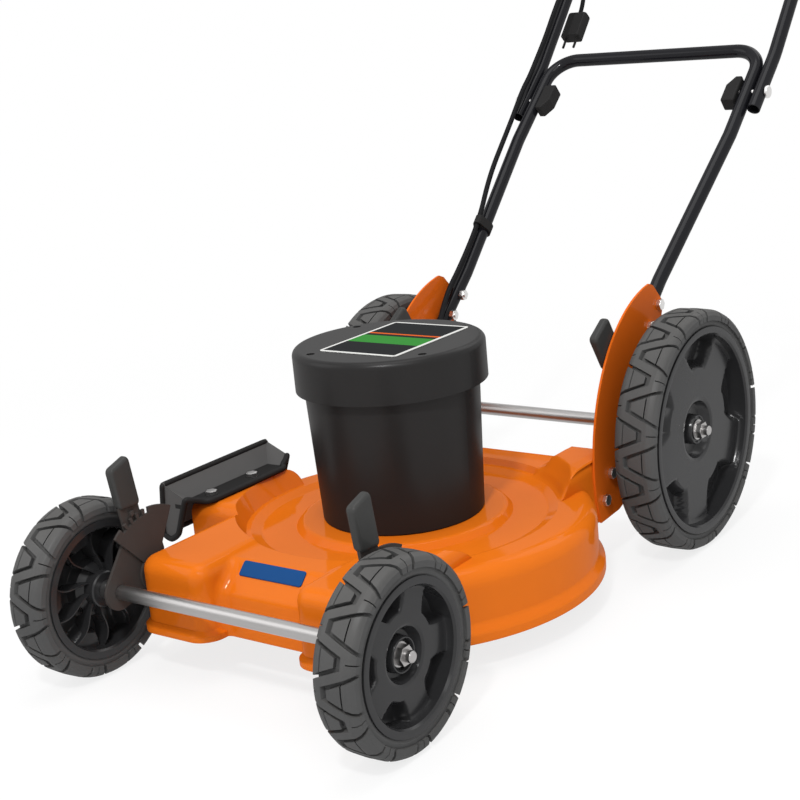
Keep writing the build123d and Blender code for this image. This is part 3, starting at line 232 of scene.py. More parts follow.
def band_group(tree, entry):
    """Mask that is 1 between two values, with soft ends."""
    ends = []
    for upper, lower in (("Value", "Low"), ("High", "Value")):
        gap = maths(tree, "SUBTRACT", entry[upper], entry[lower])
        ends.append(maths(tree, "DIVIDE", gap, entry["Soft"], clamp=True))
    return {"Mask": maths(tree, "MULTIPLY", *ends)}


# Each shared effect: what builds it, its inputs with their defaults, and its outputs
GROUPS = {
    "moulded_grain": (grain_group, {"Grain scale": 900.0, "Blotch scale": 14.0}, ("Height", "Tone")),
    "settled_dust": (dust_group, {"Patch scale": 30.0, "Reach": 0.5}, ("Mask",)),
    "drawn_lines": (streak_group, {"Line scale": 700.0}, ("Height", "Tone")),
    "band_mask": (band_group, {"Value": 0.0, "Low": 0.0, "High": 1.0, "Soft": 0.0005}, ("Mask",)),
}
SCALE_INPUTS = {"moulded_grain": "Grain scale", "drawn_lines": "Line scale"}


def new_group(name):
    """Builds a shared effect as a node group with float sockets."""
    build, inputs, outputs = GROUPS[name]
    tree = bpy.data.node_groups.new(name, "ShaderNodeTree")
    for label, default in inputs.items():
        socket = tree.interface.new_socket(label, in_out="INPUT", socket_type="NodeSocketFloat")
        socket.default_value = default
    for label in outputs:
        tree.interface.new_socket(label, in_out="OUTPUT", socket_type="NodeSocketFloat")
    entry = node(tree, "NodeGroupInput")
    fill(tree, node(tree, "NodeGroupOutput"), build(tree, entry.outputs))
    arrange(tree)
    return tree


def place_group(tree, name, **values):
    """Places an effect that is built once, with values of its own."""
    made = node(tree, "ShaderNodeGroup")
    made.node_tree = bpy.data.node_groups.get(name) or new_group(name)
    fill(tree, made, values)
    return made.outputs


def finish_material(name, base, spread=0.12, rough=(0.4, 0.5), grain="moulded_grain", grain_scale=900.0,
                    depth=0.0001, metallic=0.0, coat=0.08, coat_rough=0.3, round_edges=0.0008, dust=0.0):
    """Material with grain, tone, soft edges and a little dust, whose sheen comes from its coat alone."""
    made = bpy.data.materials.new(name)
    made.use_nodes = True
    tree = made.node_tree
    texture = place_group(tree, grain, **{SCALE_INPUTS[grain]: grain_scale})
    dark = [part * (1 - spread) for part in base]
    light = [min(part * (1 + spread), 1.0) for part in base]
    shade = mixed(tree, texture["Tone"], dark, light)
    if dust:
        shade = mixed(tree, place_group(tree, "settled_dust", Reach=dust)["Mask"], shade, DUST)
    dull = node(tree, "ShaderNodeMapRange", Value=texture["Tone"], To_Min=rough[0], To_Max=rough[1])
    bump = node(tree, "ShaderNodeBump", Height=texture["Height"], Distance=depth, Strength=1.0)
    if round_edges:
        soft = node(tree, "ShaderNodeBevel", Radius=round_edges)
        soft.samples = BEVEL_SAMPLES
        fill(tree, bump, {"Normal": soft.outputs["Normal"]})
    fill(tree, tree.nodes["Principled BSDF"], {
        "Base Color": shade, "Roughness": dull.outputs["Result"], "Normal": bump.outputs["Normal"],
        "Metallic": metallic, "Coat Weight": coat, "Coat Roughness": coat_rough, "Specular IOR Level": 0.0})
    arrange(tree)
    return made


def box_mask(tree, soft, **spans):
    """Mask of a box in Object coordinates; an axis that isn't named is free."""
    parts = node(tree, "ShaderNodeSeparateXYZ", object_place(tree)).outputs
    bands = [place_group(tree, "band_mask", Value=parts[axis], Low=low, High=high, Soft=soft)["Mask"]
             for axis, (low, high) in spans.items()]
    mask = bands[0]
    for band in bands[1:]:
        mask = maths(tree, "MULTIPLY", mask, band)
    return mask


def overlay(material, tint, soft, **spans):
    """Lays a second colour over a finish, inside a box in Object coordinates."""
    tree = material.node_tree
    shader = tree.nodes["Principled BSDF"]
    under = shader.inputs["Base Color"].links[0].from_socket
    fill(tree, shader, {"Base Color": mixed(tree, box_mask(tree, soft, **spans), under, tint)})
    arrange(tree)


def dress(material, *names):
    """Gives CAD nodes a finish."""
    for name in names:
        piece = frame["nodes"][name]
        piece.data.materials.clear()
        piece.data.materials.append(material)


# Helpers for new pieces
MERGE = 0.00005
# The rays that find the deck start at this height
DROP_HEIGHT = 0.6
TUBE_STEPS, TUBE_ROUND, TUBE_ORDER = 12, 4, 3


def smooth_step(share):
    share = min(max(share, 0.0), 1.0)
    return share * share * (3 - 2 * share)


def new_object(name, data):
    made = bpy.data.objects.new(name, data)
    bpy.context.scene.collection.objects.link(made)
    return made


def deselect():
    if bpy.context.mode != "OBJECT":
        leave_edit()
    bpy.ops.object.select_all(action="DESELECT")


def choose(*pieces):
    """Selects these objects alone, with the first one active."""
    deselect()
    for piece in pieces:
        piece.select_set(True)
    bpy.context.view_layer.objects.active = pieces[0]


def primitive(add, name, **values):
    """Adds a primitive with nothing else selected."""
    deselect()
    add(**values)
    piece = bpy.context.object
    piece.name = piece.data.name = name
    return piece


def unit_grid(name, columns, rows):
    return primitive(bpy.ops.mesh.primitive_grid_add, name, x_subdivisions=columns, y_subdivisions=rows,
                     size=1.0)


def leave_edit():
    bpy.ops.object.mode_set(mode="OBJECT")


def edit_all():
    """Goes into edit mode with all of the active piece selected."""
    bpy.ops.object.mode_set(mode="EDIT")
    bpy.ops.mesh.select_all(action="SELECT")


def face_outwards():
    """Turns the faces of the active piece outwards and leaves edit mode."""
    edit_all()
    bpy.ops.mesh.normals_make_consistent(inside=False)
    leave_edit()


def pick_faces(piece, wanted):
    """Selects the faces of a mesh that pass a test, with edit mode left on."""
    bpy.ops.object.mode_set(mode="EDIT")
    bpy.ops.mesh.select_mode(type="FACE")
    bpy.ops.mesh.select_all(action="DESELECT")
    leave_edit()
    for face in piece.data.polygons:
        face.select = wanted(face)
    bpy.ops.object.mode_set(mode="EDIT")


def apply_modifier(piece, kind, **values):
    """Puts a modifier on the active piece and applies it."""
    made = piece.modifiers.new(kind.lower(), kind)
    for name, value in values.items():
        setattr(made, name, value)
    bpy.ops.object.modifier_apply(modifier=made.name)


def smooth_edges(degrees):
    bpy.ops.object.shade_smooth_by_angle(angle=radians(degrees))


def smooth_tube(name, points, radius, closed=False):
    """Round tube on one smooth spline that has the route's points as control points."""
    line = bpy.data.curves.new(name, "CURVE")
    line.dimensions = "3D"
    line.resolution_u = TUBE_STEPS
    line.bevel_depth = radius
    line.bevel_resolution = TUBE_ROUND
    line.use_fill_caps = True
    spline = line.splines.new("NURBS")
    spline.points.add(len(points) - 1)
    for spot, place in zip(spline.points, points):
        spot.co = (*place, 1.0)
    spline.use_cyclic_u = closed
    spline.order_u = TUBE_ORDER
    spline.use_endpoint_u = not closed
    return new_object(name, line)


def as_mesh(*pieces):
    """Turns curves into one mesh."""
    choose(*pieces)
    bpy.ops.object.convert(target="MESH")
    if len(pieces) > 1:
        bpy.ops.object.join()
    smooth_edges(40.0)
    return bpy.context.object


def settle(piece, material, body):
    """Finishes a new piece: place in its mesh, material, body and slot."""
    choose(piece)
    bpy.ops.object.transform_apply(location=True, rotation=True, scale=True)
    piece.data.materials.clear()
    piece.data.materials.append(material)
    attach(piece, body)


def deck_faces():
    return BVHTree.FromObject(frame["nodes"]["deck"], bpy.context.evaluated_depsgraph_get())


def deck_point(faces, x, y):
    """Highest point of the deck at a place of the plan."""
    place = faces.ray_cast(Vector((x, y, DROP_HEIGHT)), Vector((0.0, 0.0, -1.0)))[0]
    if place is None:
        raise RuntimeError("a piece of trim has no deck under it")
    return place


# Bodywork
DECK_PAINT = {"spread": 0.05, "rough": (0.3, 0.38), "grain_scale": 420.0, "depth": 0.00006, "coat": 0.19,
              "coat_rough": 0.06}
BRACKET_PAINT = {**DECK_PAINT, "rough": (0.32, 0.4), "coat": 0.13, "coat_rough": 0.1}
DECK_EDGE = 0.0015
PAD_X, PAD_Z, PAD_SOFT = (-0.2405, -0.2), (0.138, 0.1442), 0.0006


class MOWER_OT_bodywork(bpy.types.Operator):
    """Paint of the deck, the rear brackets and the discharge hood"""
    bl_idname = "mower.bodywork"
    bl_label = "Bodywork"

    def execute(self, context):
        look = finishes()
        dress(finish_material("deck_paint", look.deck, round_edges=DECK_EDGE, **DECK_PAINT), "deck")
        dress(finish_material("bracket_paint", look.bracket, **BRACKET_PAINT),
              "rear_bracket_left", "rear_bracket_right")
        panel = finish_material(
            "hood_plastic", look.hood, spread=0.1, rough=(0.5, 0.62), grain_scale=650.0, depth=0.0002)
        # Smooth dark pad round the hood's bolts
        overlay(panel, look.small, PAD_SOFT, Z=PAD_Z, X=PAD_X)
        dress(panel, "discharge_hood")
        return {"FINISHED"}


FAIRING_LOW, FAIRING_HIGH = Vector((0.074, 0.070)), Vector((0.1622, 0.222))
FAIRING_CELLS = (64, 110)
FAIRING_LIFT, FAIRING_FADE, FAIRING_SHEET = 0.0004, 0.014, 0.0012
# The fade at the outer edge ends this far past the sheet, so the sheet stays proud there
FAIRING_OUT = 0.01
RING_EDGE, RING_BLEND = 0.183, 0.012


class MOWER_OT_ear_fairings(bpy.types.Operator):
    """Soft fillets where the rear ears rise from the deck"""
    bl_idname = "mower.ear_fairings"
    bl_label = "Ear fairings"

    def execute(self, context):
        paint = finish_material("fairing_paint", finishes().deck, round_edges=0.0, **DECK_PAINT)
        deck = deck_faces()
        for side, name in ((1, "right"), (-1, "left")):
            settle(self.fairing(deck, side, name + "_ear_fairing"), paint, "chassis")
        return {"FINISHED"}

    def fairing(self, deck, side, name):
        """Sheet over one ear that fills its inner corners and dips into the deck at its edge."""
        piece = unit_grid(name, *FAIRING_CELLS)
        columns, rows = FAIRING_CELLS[0] + 1, FAIRING_CELLS[1] + 1
        span = FAIRING_HIGH - FAIRING_LOW
        low, fade = numpy.empty((2, rows, columns))
        for number, corner in enumerate(piece.data.vertices):
            share = corner.co.xy + Vector((0.5, 0.5))
            place = FAIRING_LOW + Vector((span.x * share.x, span.y * share.y))
            corner.co = (side * place.x, place.y, 0.0)
            spot = divmod(number, columns)
            low[spot] = deck_point(deck, side * place.x, place.y).z
            edge = min(*(place - FAIRING_LOW), FAIRING_HIGH.x + FAIRING_OUT - place.x,
                       FAIRING_HIGH.y - place.y)
            ring = (place.length - RING_EDGE) / RING_BLEND
            fade[spot] = smooth_step(min(edge / FAIRING_FADE, ring))
        film = low.copy()
        for _ in range(trim_sizes().fairing):
            wide = numpy.pad(film, 1, mode="edge")
            spread = (wide[:-2, 1:-1] + wide[2:, 1:-1] + wide[1:-1, :-2] + wide[1:-1, 2:]) / 4
            film = numpy.maximum(low, spread)
        film = low + (film - low) * fade + FAIRING_LIFT * (2 * fade - 1)
        for number, corner in enumerate(piece.data.vertices):
            corner.co.z = film[divmod(number, columns)]
        if side < 0:
            edit_all()
            bpy.ops.mesh.flip_normals()
            leave_edit()
        apply_modifier(piece, "SOLIDIFY", thickness=FAIRING_SHEET)
        smooth_edges(50.0)
        return piece


# Trim of the hood: the climb is (x, along from the ramp, z), the cheek and the crest are (x, z)
HOOD_RAMP, CREST_TURN = 0.024, 0.008
HOOD_CLIMB = ((-0.2035, 0.014, 0.1438), (-0.2045, 0.004, 0.1438), (-0.2135, -0.002, 0.1438),
              (-0.217, -0.016, 0.149), (-0.2215, -0.023, 0.1515), (-0.2235, -0.024, 0.147))
HOOD_CHEEK = ((-0.231, 0.128), (-0.2385, 0.109), (-0.2415, 0.1035), (-0.252, 0.0965), (-0.257, 0.0965),
              (-0.2655, 0.1005), (-0.266, 0.106), (-0.262, 0.134), (-0.2588, 0.1595), (-0.258, 0.166))
HOOD_CREST, HOOD_SKIRT = (-0.258, 0.1662), (-0.266, 0.102)


class MOWER_OT_hood_trim(bpy.types.Operator):
    """Black rolled beads along the edges of the discharge hood"""
    bl_idname = "mower.hood_trim"
    bl_label = "Hood beads"

    def execute(self, context):
        radius = trim_sizes().bead
        low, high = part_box("discharge_hood")
        edge = smooth_tube("hood_trim", self.outline(low.y, high.y), radius, closed=True)
        skirt = smooth_tube("hood_skirt", self.level(HOOD_SKIRT, low.y, high.y), radius)
        black = finish_material("bead_plastic", finishes().small, rough=(0.34, 0.44))
        settle(as_mesh(edge, skirt), black, "chassis")
        return {"FINISHED"}

    def outline(self, front, rear):
        """Along the flange, up each ramp, round each cheek and along the crest."""
        start = [(x, front + HOOD_RAMP + y, z) for x, y, z in HOOD_CLIMB]
        start += [(x, front, z) for x, z in HOOD_CHEEK]
        finish = [(x, rear - HOOD_RAMP - y, z) for x, y, z in HOOD_CLIMB]
        finish += [(x, rear, z) for x, z in HOOD_CHEEK]
        return start + self.level(HOOD_CREST, front + CREST_TURN, rear - CREST_TURN) + finish[::-1]

    def level(self, line, front, rear):
        """Straight run along the hood."""
        return [(line[0], y, line[1]) for y in (front, (front + rear) / 2, rear)]


# Blank label and badge
LABEL_MIDDLE, LABEL_LIFT, LABEL_RIM, LABEL_SOFT = (0.006, 0.006), 0.0001, 0.004, 0.0003
LABEL_CORNER, LABEL_THICK = 0.006, 0.0005
LABEL_WHITE, LABEL_DARK = (0.62, 0.62, 0.6), (0.012, 0.013, 0.014)
LABEL_BANDS = (((0.03, 0.2, 0.03), 0.05, 0.084), ((0.6, 0.1, 0.012), 0.092, 0.097))
PRINT = {"rough": (0.25, 0.32), "grain_scale": 500.0, "depth": 0.00002}
BADGE_X, BADGE_SPAN = -0.003, (-0.246, -0.236)
BADGE_CORNER, BADGE_THICK, BADGE_BLUE = 0.003, 0.0012, (0.005, 0.055, 0.19)
PLATE_EDGE, PLATE_CROWN, CORNER_STEPS = 0.6, 0.3, 5


class MOWER_OT_labels(bpy.types.Operator):
    """Blank label on the motor cap and blank badge on the front slope"""
    bl_idname = "mower.labels"
    bl_label = "Blank label and badge"

    def execute(self, context):
        self.label(trim_sizes().label)
        self.badge(trim_sizes().badge)
        return {"FINISHED"}

    def plate(self, name, place, tilt, size, corner, thick):
        """Rounded plate with a softened upper edge."""
        piece = primitive(bpy.ops.mesh.primitive_plane_add, name, size=1.0, location=place,
                          rotation=(tilt, 0.0, 0.0))
        piece.scale = (*size, 1.0)
        bpy.ops.object.transform_apply(location=False, rotation=False, scale=True)
        edit_all()
        bpy.ops.mesh.bevel(affect="VERTICES", offset=corner, segments=CORNER_STEPS)
        bpy.ops.mesh.select_all(action="SELECT")
        rise = {"value": (0.0, 0.0, thick), "orient_type": "LOCAL"}
        bpy.ops.mesh.extrude_region_move(TRANSFORM_OT_translate=rise)
        bpy.ops.mesh.inset(thickness=thick * PLATE_EDGE, depth=thick * PLATE_CROWN)
        face_outwards()
        return piece

    def label(self, size):
        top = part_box("motor_cap")[1].z
        place = (*LABEL_MIDDLE, top + LABEL_LIFT)
        piece = self.plate("cap_label", place, 0.0, size, LABEL_CORNER, LABEL_THICK)
        paper = finish_material("label_print", LABEL_WHITE, spread=0.03, round_edges=0.0, **PRINT)
        width = size[0] / 2 - LABEL_RIM
        near = LABEL_MIDDLE[1] - size[1] / 2
        for tint, start, end in ((LABEL_DARK, LABEL_RIM, size[1] - LABEL_RIM), *LABEL_BANDS):
            overlay(paper, tint, LABEL_SOFT, X=(LABEL_MIDDLE[0] - width, LABEL_MIDDLE[0] + width),
                    Y=(near + start, near + end))
        settle(piece, paper, "chassis")

    def badge(self, size):
        deck = deck_faces()
        low, high = (deck_point(deck, BADGE_X, y) for y in BADGE_SPAN)
        tilt = atan2(high.z - low.z, high.y - low.y)
        piece = self.plate("front_badge", (low + high) / 2, tilt, size, BADGE_CORNER, BADGE_THICK)
        blue = finish_material("badge_enamel", BADGE_BLUE, spread=0.06, coat=0.12, coat_rough=0.08,
                               **{**PRINT, "rough": (0.22, 0.3)})
        settle(piece, blue, "chassis")


# The left handle leg, and the cords along it
FOLD_PIVOT = Vector(next(joint["pos_m"] for joint in frame["joints"] if joint["name"] == "handle_fold"))
LOW_ANGLE, HIGH_ANGLE = radians(40.5), radians(48.0)
LOW_LENGTH, KNEE_LENGTH = 0.409, 0.070
LOW_X, HIGH_X, OUTER_X = 0.154, 0.172, 0.192
SPLAY_START, SPLAY_END = 0.075, 0.330
LEAD_RISE = 0.016
MOTOR_GLAND = Vector((0.0, 0.1041, 0.170))
# Steps from the gland, then distance along a leg, rise over the lead's own and step sideways
GLAND_WAY = ((0.0, 0.0, 0.0), (0.0, 0.048, 0.0), (-0.060, 0.094, 0.032), (-0.118, 0.148, 0.082))
LOW_WAY = ((0.016, 0.004, 0.001), (0.078, 0.001, 0.0), (0.158, 0.0, 0.0), (0.242, 0.003, -0.011),
           (0.320, 0.001, -0.013))
LOOP_TOP, LOOP_OUT, LOOP_IN = (0.408, 0.009, -0.014), 0.044, 0.038
HIGH_WAY = ((0.006, 0.0035), (0.046, 0.0015), (0.092, 0.003), (0.148, 0.002), (0.200, 0.0), (0.244, 0.0))
# From the gland under the switch box, away from the leg and along it to the plug
PIGTAIL_WAY = ((0.231, -0.020), (0.205, -0.020), (0.162, -0.047), (0.136, -0.047))


def slope_ways(angle):
    """Directions along a line that rises to the rear, and square to it."""
    return Vector((0.0, cos(angle), sin(angle))), Vector((0.0, -sin(angle), cos(angle)))


def low_leg(distance, rise, side):
    """Point beside the lower left leg, by its distance from the first handle bolt."""
    along, above = slope_ways(LOW_ANGLE)
    share = min(max((distance - SPLAY_START) / (SPLAY_END - SPLAY_START), 0.0), 1.0)
    x = LOW_X + (HIGH_X - LOW_X) * share
    return FOLD_PIVOT + along * (distance - LOW_LENGTH) + above * rise + Vector((side - x, 0.0, 0.0))


def high_leg(distance, rise):
    """Point beside the upper left leg, by its distance from the knee."""
    knee = FOLD_PIVOT + slope_ways(LOW_ANGLE)[0] * KNEE_LENGTH
    along, above = slope_ways(HIGH_ANGLE)
    return knee + along * distance + above * rise + Vector((-OUTER_X, 0.0, 0.0))


class MOWER_OT_cords(bpy.types.Operator):
    """Motor lead along the left leg, and the plug's short cord"""
    bl_idname = "mower.cords"
    bl_label = "Cords"

    def execute(self, context):
        sheath = finish_material("cord_sheath", finishes().cord, rough=(0.42, 0.52), round_edges=0.0)
        route, loop_start, loop_end = self.lead_route()
        lead = as_mesh(smooth_tube("power_lead", route, trim_sizes().lead))
        lead.data.materials.append(sheath)
        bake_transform(lead)
        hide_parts("motor_lead", "fold_loop", "switch_lead")
        route = [high_leg(*spot) for spot in PIGTAIL_WAY]
        cord = smooth_tube("plug_cord", route, trim_sizes().pigtail)
        cord.data.materials.append(sheath)
        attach(cord, "upper_handle_set")
        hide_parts("pigtail")
        return {"FINISHED"}

    def lead_route(self):
        """From the motor's gland, up the left leg, round the fold joint and into the switch box."""
        gland = [MOTOR_GLAND + Vector(step) for step in GLAND_WAY]
        low = [low_leg(distance, LEAD_RISE + rise, side) for distance, rise, side in (*LOW_WAY, LOOP_TOP)]
        high = [high_leg(distance, LEAD_RISE + rise) for distance, rise in HIGH_WAY]
        top = low.pop()
        start, end = low[-1], high[0]
        leave = start + (start - low[-2]).normalized() * LOOP_OUT
        arrive = end + (end - high[1]).normalized() * LOOP_IN
        return [*gland, *low, leave, top, arrive, *high], start, end


# Motor
METAL = {"metallic": 1.0, "coat": 0.0}
ALLOY, STEEL, COPPER, BLADE = (0.5, 0.5, 0.51), (0.35, 0.35, 0.36), (0.5, 0.17, 0.06), (0.2, 0.2, 0.21)


class MOWER_OT_motor(bpy.types.Operator):
    """Moulded motor cover and the metal parts inside it"""
    bl_idname = "mower.motor"
    bl_label = "Motor"

    def execute(self, context):
        look = finishes()
        cover = finish_material(
            "motor_plastic", look.motor, rough=(0.38, 0.48), grain_scale=1100.0, coat=0.34, coat_rough=0.32)
        dress(cover, "motor_housing", "motor_cap", "cable_gland")
        alloy = finish_material("cast_alloy", ALLOY, rough=(0.4, 0.55), grain_scale=500.0, **METAL)
        dress(alloy, "motor_frame", "upper_end_bell", "blade_hub")
        steel = finish_material("laminated_steel", STEEL, rough=(0.3, 0.45), grain="drawn_lines", **METAL)
        dress(steel, "stator_core", "motor_bearings", "rotor_shaft", "rotor_core")
        copper = finish_material(
            "enamelled_wire", COPPER, metallic=0.8, coat=0.0, rough=(0.3, 0.4), grain="drawn_lines")
        dress(copper, "stator_windings")
        black = finish_material("fan_plastic", look.small, rough=(0.45, 0.55))
        dress(black, "run_capacitor", "cooling_fan")
        blade = finish_material("blade_steel", BLADE, rough=(0.4, 0.55), grain="drawn_lines", **METAL)
        dress(blade, "cutting_blade")
        return {"FINISHED"}


# Tyres
LIPS = {"front": 0.080, "rear": 0.132}
RIM_SEAT_STEP, RIM_WALL, RIM_LIP = 0.004, 0.006, 0.004
# How far each corner of a shoulder lies in from the tyre's side and below the crown
CARCASS_SHOULDER = ((0.012, 0.0006), (0.006, 0.003), (0.0035, 0.007))
BLOCK_SHOULDER = ((0.009, 0.0007), (0.003, 0.0035), (0.0, 0.008))
SIDE_WALL, BEAD_WALL, BEAD_RISE, LUG_TOE = 0.003, 0.0025, 0.003, 0.001
LUG_DROP, LUG_CORNER = 0.0145, 3
# Tread pattern: shares of the width, the pitch and the way to the shoulder, and half widths
APEX_SHARE, SPREAD_SHARE, SIPE_SHARE, SLIT_SHARE = 0.19, 0.37, 0.46, 0.55
TIP_STEP, NARROW_HALF, BLUNT_HALF, SLIT_HALF = 0.0058, 0.0065, 0.0045, 0.0006
TREAD_CELLS, CUT_MERGE = (18, 7), 0.00003


def at_share(outline, distance):
    """Segment of an outline at a distance from its start, and how far along that segment it is."""
    for number, (start, end) in enumerate(zip(outline, outline[1:])):
        span = dist(start, end)
        if distance <= span or number == len(outline) - 2:
            return number, min(distance / span, 1.0)
        distance -= span


def wrapped(carcass, across, turn, outline):
    """Point of a section that is turned round the axle, by its distance along the carcass."""
    number, share = at_share(carcass, abs(across))
    x, radius = (a + (b - a) * share for a, b in zip(outline[number], outline[number + 1]))
    return Vector((x if across > 0 else -x, radius * cos(turn), radius * sin(turn)))


class Tread:
    """Half sections of a tyre and the pattern of its tread, laid flat."""

    def __init__(self, radius, width, lip, pitches, wheel):
        edge, floor = width / 2, radius - wheel.tread
        self.radius = radius
        self.pitch = 2 * pi * radius / pitches
        self.carcass = [(0.0, floor), *((edge - inset, floor - drop) for inset, drop in CARCASS_SHOULDER),
                        (edge - SIDE_WALL, radius - LUG_DROP), (edge - BEAD_WALL, lip + BEAD_RISE),
                        (edge - RIM_LIP, lip), (edge - RIM_LIP, lip - RIM_SEAT_STEP)]
        self.blocks = [(0.0, radius), *((edge - inset, radius - drop) for inset, drop in BLOCK_SHOULDER),
                       (edge, radius - LUG_DROP), (edge - LUG_TOE, lip + BEAD_RISE)]
        self.corners = [sum(dist(a, b) for a, b in zip(self.carcass[:n], self.carcass[1:n + 1]))
                        for n in range(1, len(self.carcass))]
        self.half = self.corners[-1]
        self.mouth = self.corners[LUG_CORNER]
        self.apex = -APEX_SHARE * width
        self.tip = self.apex + TIP_STEP
        self.spread = SPREAD_SHARE * self.pitch
        self.inner_spread = self.spread - wheel.groove
        self.sipe = (self.tip + self.mouth) * SIPE_SHARE
        self.slit = SLIT_SHARE * self.mouth

    def lines(self):
        """Edges of the grooves beside one island, from their inner ends to the shoulder."""
        for side in (-1, 1):
            yield (self.apex, side * NARROW_HALF), (self.mouth, side * self.spread)
            yield (self.tip, side * BLUNT_HALF), (self.mouth, side * self.inner_spread)

    def is_block(self, across, along):
        """True where the tread stands up, by the place across the tyre and along it."""
        if abs(across) > self.mouth:
            return False
        for side, shift in ((1, 0.0), (-1, self.pitch / 2)):
            reach = across * side
            off = abs((along - shift + self.pitch / 2) % self.pitch - self.pitch / 2)
            if reach > self.slit and off > self.pitch / 2 - SLIT_HALF:
                return False
            outer = (reach - self.apex) / (self.mouth - self.apex)
            inner = (reach - self.tip) / (self.mouth - self.tip)
            if outer < 0 or off > NARROW_HALF + (self.spread - NARROW_HALF) * outer:
                continue
            island = inner > 0 and off < BLUNT_HALF + (self.inner_spread - BLUNT_HALF) * inner
            if not island or abs(reach - self.sipe) < SLIT_HALF:
                return False
        return True


def cut(piece, start, end, wanted):
    """Bisects the wanted faces along a line through two points of the flat tread."""
    pick_faces(piece, wanted)
    square = Vector((end[1] - start[1], start[0] - end[0], 0.0)).normalized()
    bpy.ops.mesh.bisect(plane_co=(*start, 0.0), plane_no=square, threshold=CUT_MERGE)
    leave_edit()


def cut_pattern(piece, tread):
    """Cuts the lines of the tread pattern into one flat pitch."""
    stops = [*tread.corners[:-1], tread.apex, tread.tip, tread.slit, tread.sipe - SLIT_HALF,
             tread.sipe + SLIT_HALF]
    for stop in stops:
        for side in (-1, 1):
            cut(piece, (side * stop, 0.0), (side * stop, 1.0), lambda face: True)
    half = tread.pitch / 2
    for way, middle in ((1, -half), (1, half), (-1, 0.0)):
        for along in (middle - SLIT_HALF, middle + SLIT_HALF):
            cut(piece, (0.0, along), (1.0, along),
                lambda face: tread.slit < way * face.center.x < tread.mouth)
    for start, end in tread.lines():
        low, high = start[0], end[0]
        cut(piece, start, end, lambda face: low < face.center.x < high)
        for shift in (-half, half):
            cut(piece, (-start[0], start[1] + shift), (-end[0], end[1] + shift),
                lambda face: low < -face.center.x < high)


def tread_tyre(name, tread, pitches):
    """Tyre made from one flat pitch of tread: cut, repeated, wrapped round the axle, raised in blocks."""
    piece = unit_grid(name, *TREAD_CELLS)
    piece.scale = (2 * tread.half, tread.pitch, 1.0)
    bpy.ops.object.transform_apply(location=False, rotation=False, scale=True)
    cut_pattern(piece, tread)
    # Two empty material slots mark the faces of the carcass and of the blocks
    piece.data.materials.append(None)
    piece.data.materials.append(None)
    for face in piece.data.polygons:
        face.material_index = int(tread.is_block(face.center.x, face.center.y))
    across = piece.data.attributes.new("across", "FLOAT", "POINT")
    for corner in piece.data.vertices:
        across.data[corner.index].value = corner.co.x
    choose(piece)
    apply_modifier(piece, "ARRAY", count=pitches, use_relative_offset=False, use_constant_offset=True,
                   constant_offset_displace=(0.0, tread.pitch, 0.0), use_merge_vertices=True,
                   merge_threshold=MERGE)
    for corner in piece.data.vertices:
        corner.co = wrapped(tread.carcass, corner.co.x, corner.co.y / tread.radius, tread.carcass)
    edit_all()
    bpy.ops.mesh.remove_doubles(threshold=MERGE)
    bpy.ops.mesh.select_all(action="DESELECT")
    bpy.ops.mesh.select_mode(type="EDGE")
    bpy.ops.mesh.select_non_manifold()
    bpy.ops.mesh.bridge_edge_loops()
    face_outwards()
    pick_faces(piece, lambda face: face.material_index == 1)
    bpy.ops.mesh.extrude_region()
    leave_edit()
    across = piece.data.attributes["across"]
    for corner in piece.data.vertices:
        if corner.select:
            turn = atan2(corner.co.z, corner.co.y)
            corner.co = wrapped(tread.carcass, across.data[corner.index].value, turn, tread.blocks)
    piece.data.attributes.remove(across)
    choose(piece)
    face_outwards()
    smooth_edges(32.0)
    return piece


# Rims
RIM_STEPS, RIM_RINGS = 240, 27
RIM_SHAPES = {"front": {"dish": 0.013, "seat": 0.021, "hub": 0.029, "petal": 0.045, "first": 103.6},
              "rear": {"dish": 0.014, "seat": 0.016, "hub": 0.037, "petal": 0.080, "first": 84.0}}
HUB_DEPTH, HUB_BORE, HUB_BOSS, HUB_TUBE, HUB_EASE = 0.013, 0.010, 0.0205, 0.0195, 0.0012
DISH_THICK, COLLAR_DROP, COLLAR_RISE = 0.005, 0.0014, 0.002
# Corners of a rim's section, as steps along the axle and in radius from where two of its faces meet
LIP_EDGE, BARREL_EDGE = ((-0.0015, 0.0), (-0.0012, -0.003)), ((-0.0015, 0.002), (-0.004, 0.0))
BACK_EDGE = ((0.004, 0.0), (0.0015, 0.002))
DISH_EDGE, HUB_FLOOR = ((0.004, 0.0), (0.001, -0.0012)), ((0.001, -0.004), (0.0, -0.0055))
HUB_BACK, DISH_BACK = ((-0.004, 0.0),), ((-0.001, 0.002),)
# Corners round the bore, as steps along the axle and radii
COLLAR = ((-0.0008, 0.0188), (0.0, 0.0181), (0.0, 0.0168), (-0.0008, 0.0162))
WASHER_SEAT, TUBE_ROOT = ((0.0, 0.0155), (0.0, HUB_BORE)), ((-0.010, 0.0215),)
TUBE_END = ((0.0, HUB_BORE), (0.0, HUB_TUBE), (0.0015, 0.021))
# The part of the dish that the pockets press
PRESS_HUB, PRESS_BARREL, PRESS_EASE, PRESS_OVER = 0.003, 0.004, 0.001, 0.0002
PRESS_BACK, PRESS_FRONT = 0.0005, 0.0045
POCKETS, POCKET_WALL = 5, 0.008
PETAL_BASE, PETAL_GROWTH, PETAL_POWER = 0.12, 0.27, 0.7
RIBS, RIB_CELLS, RIB_BOW, RIB_LEAN, RIB_SLOPE = 10, 12, radians(13.0), radians(14.0), 0.006
# How ribs lie to the barrel, the rim's back, the dish and the hub
RIB_BURY, RIB_SETBACK, RIB_CLEAR, RIB_TOP = 0.001, 0.007, 0.0005, 0.002
RIB_HUB_CLEAR, RIB_HUB_REACH = 0.003, 0.006
BUSH = (0.5, 0.5, 0.48)


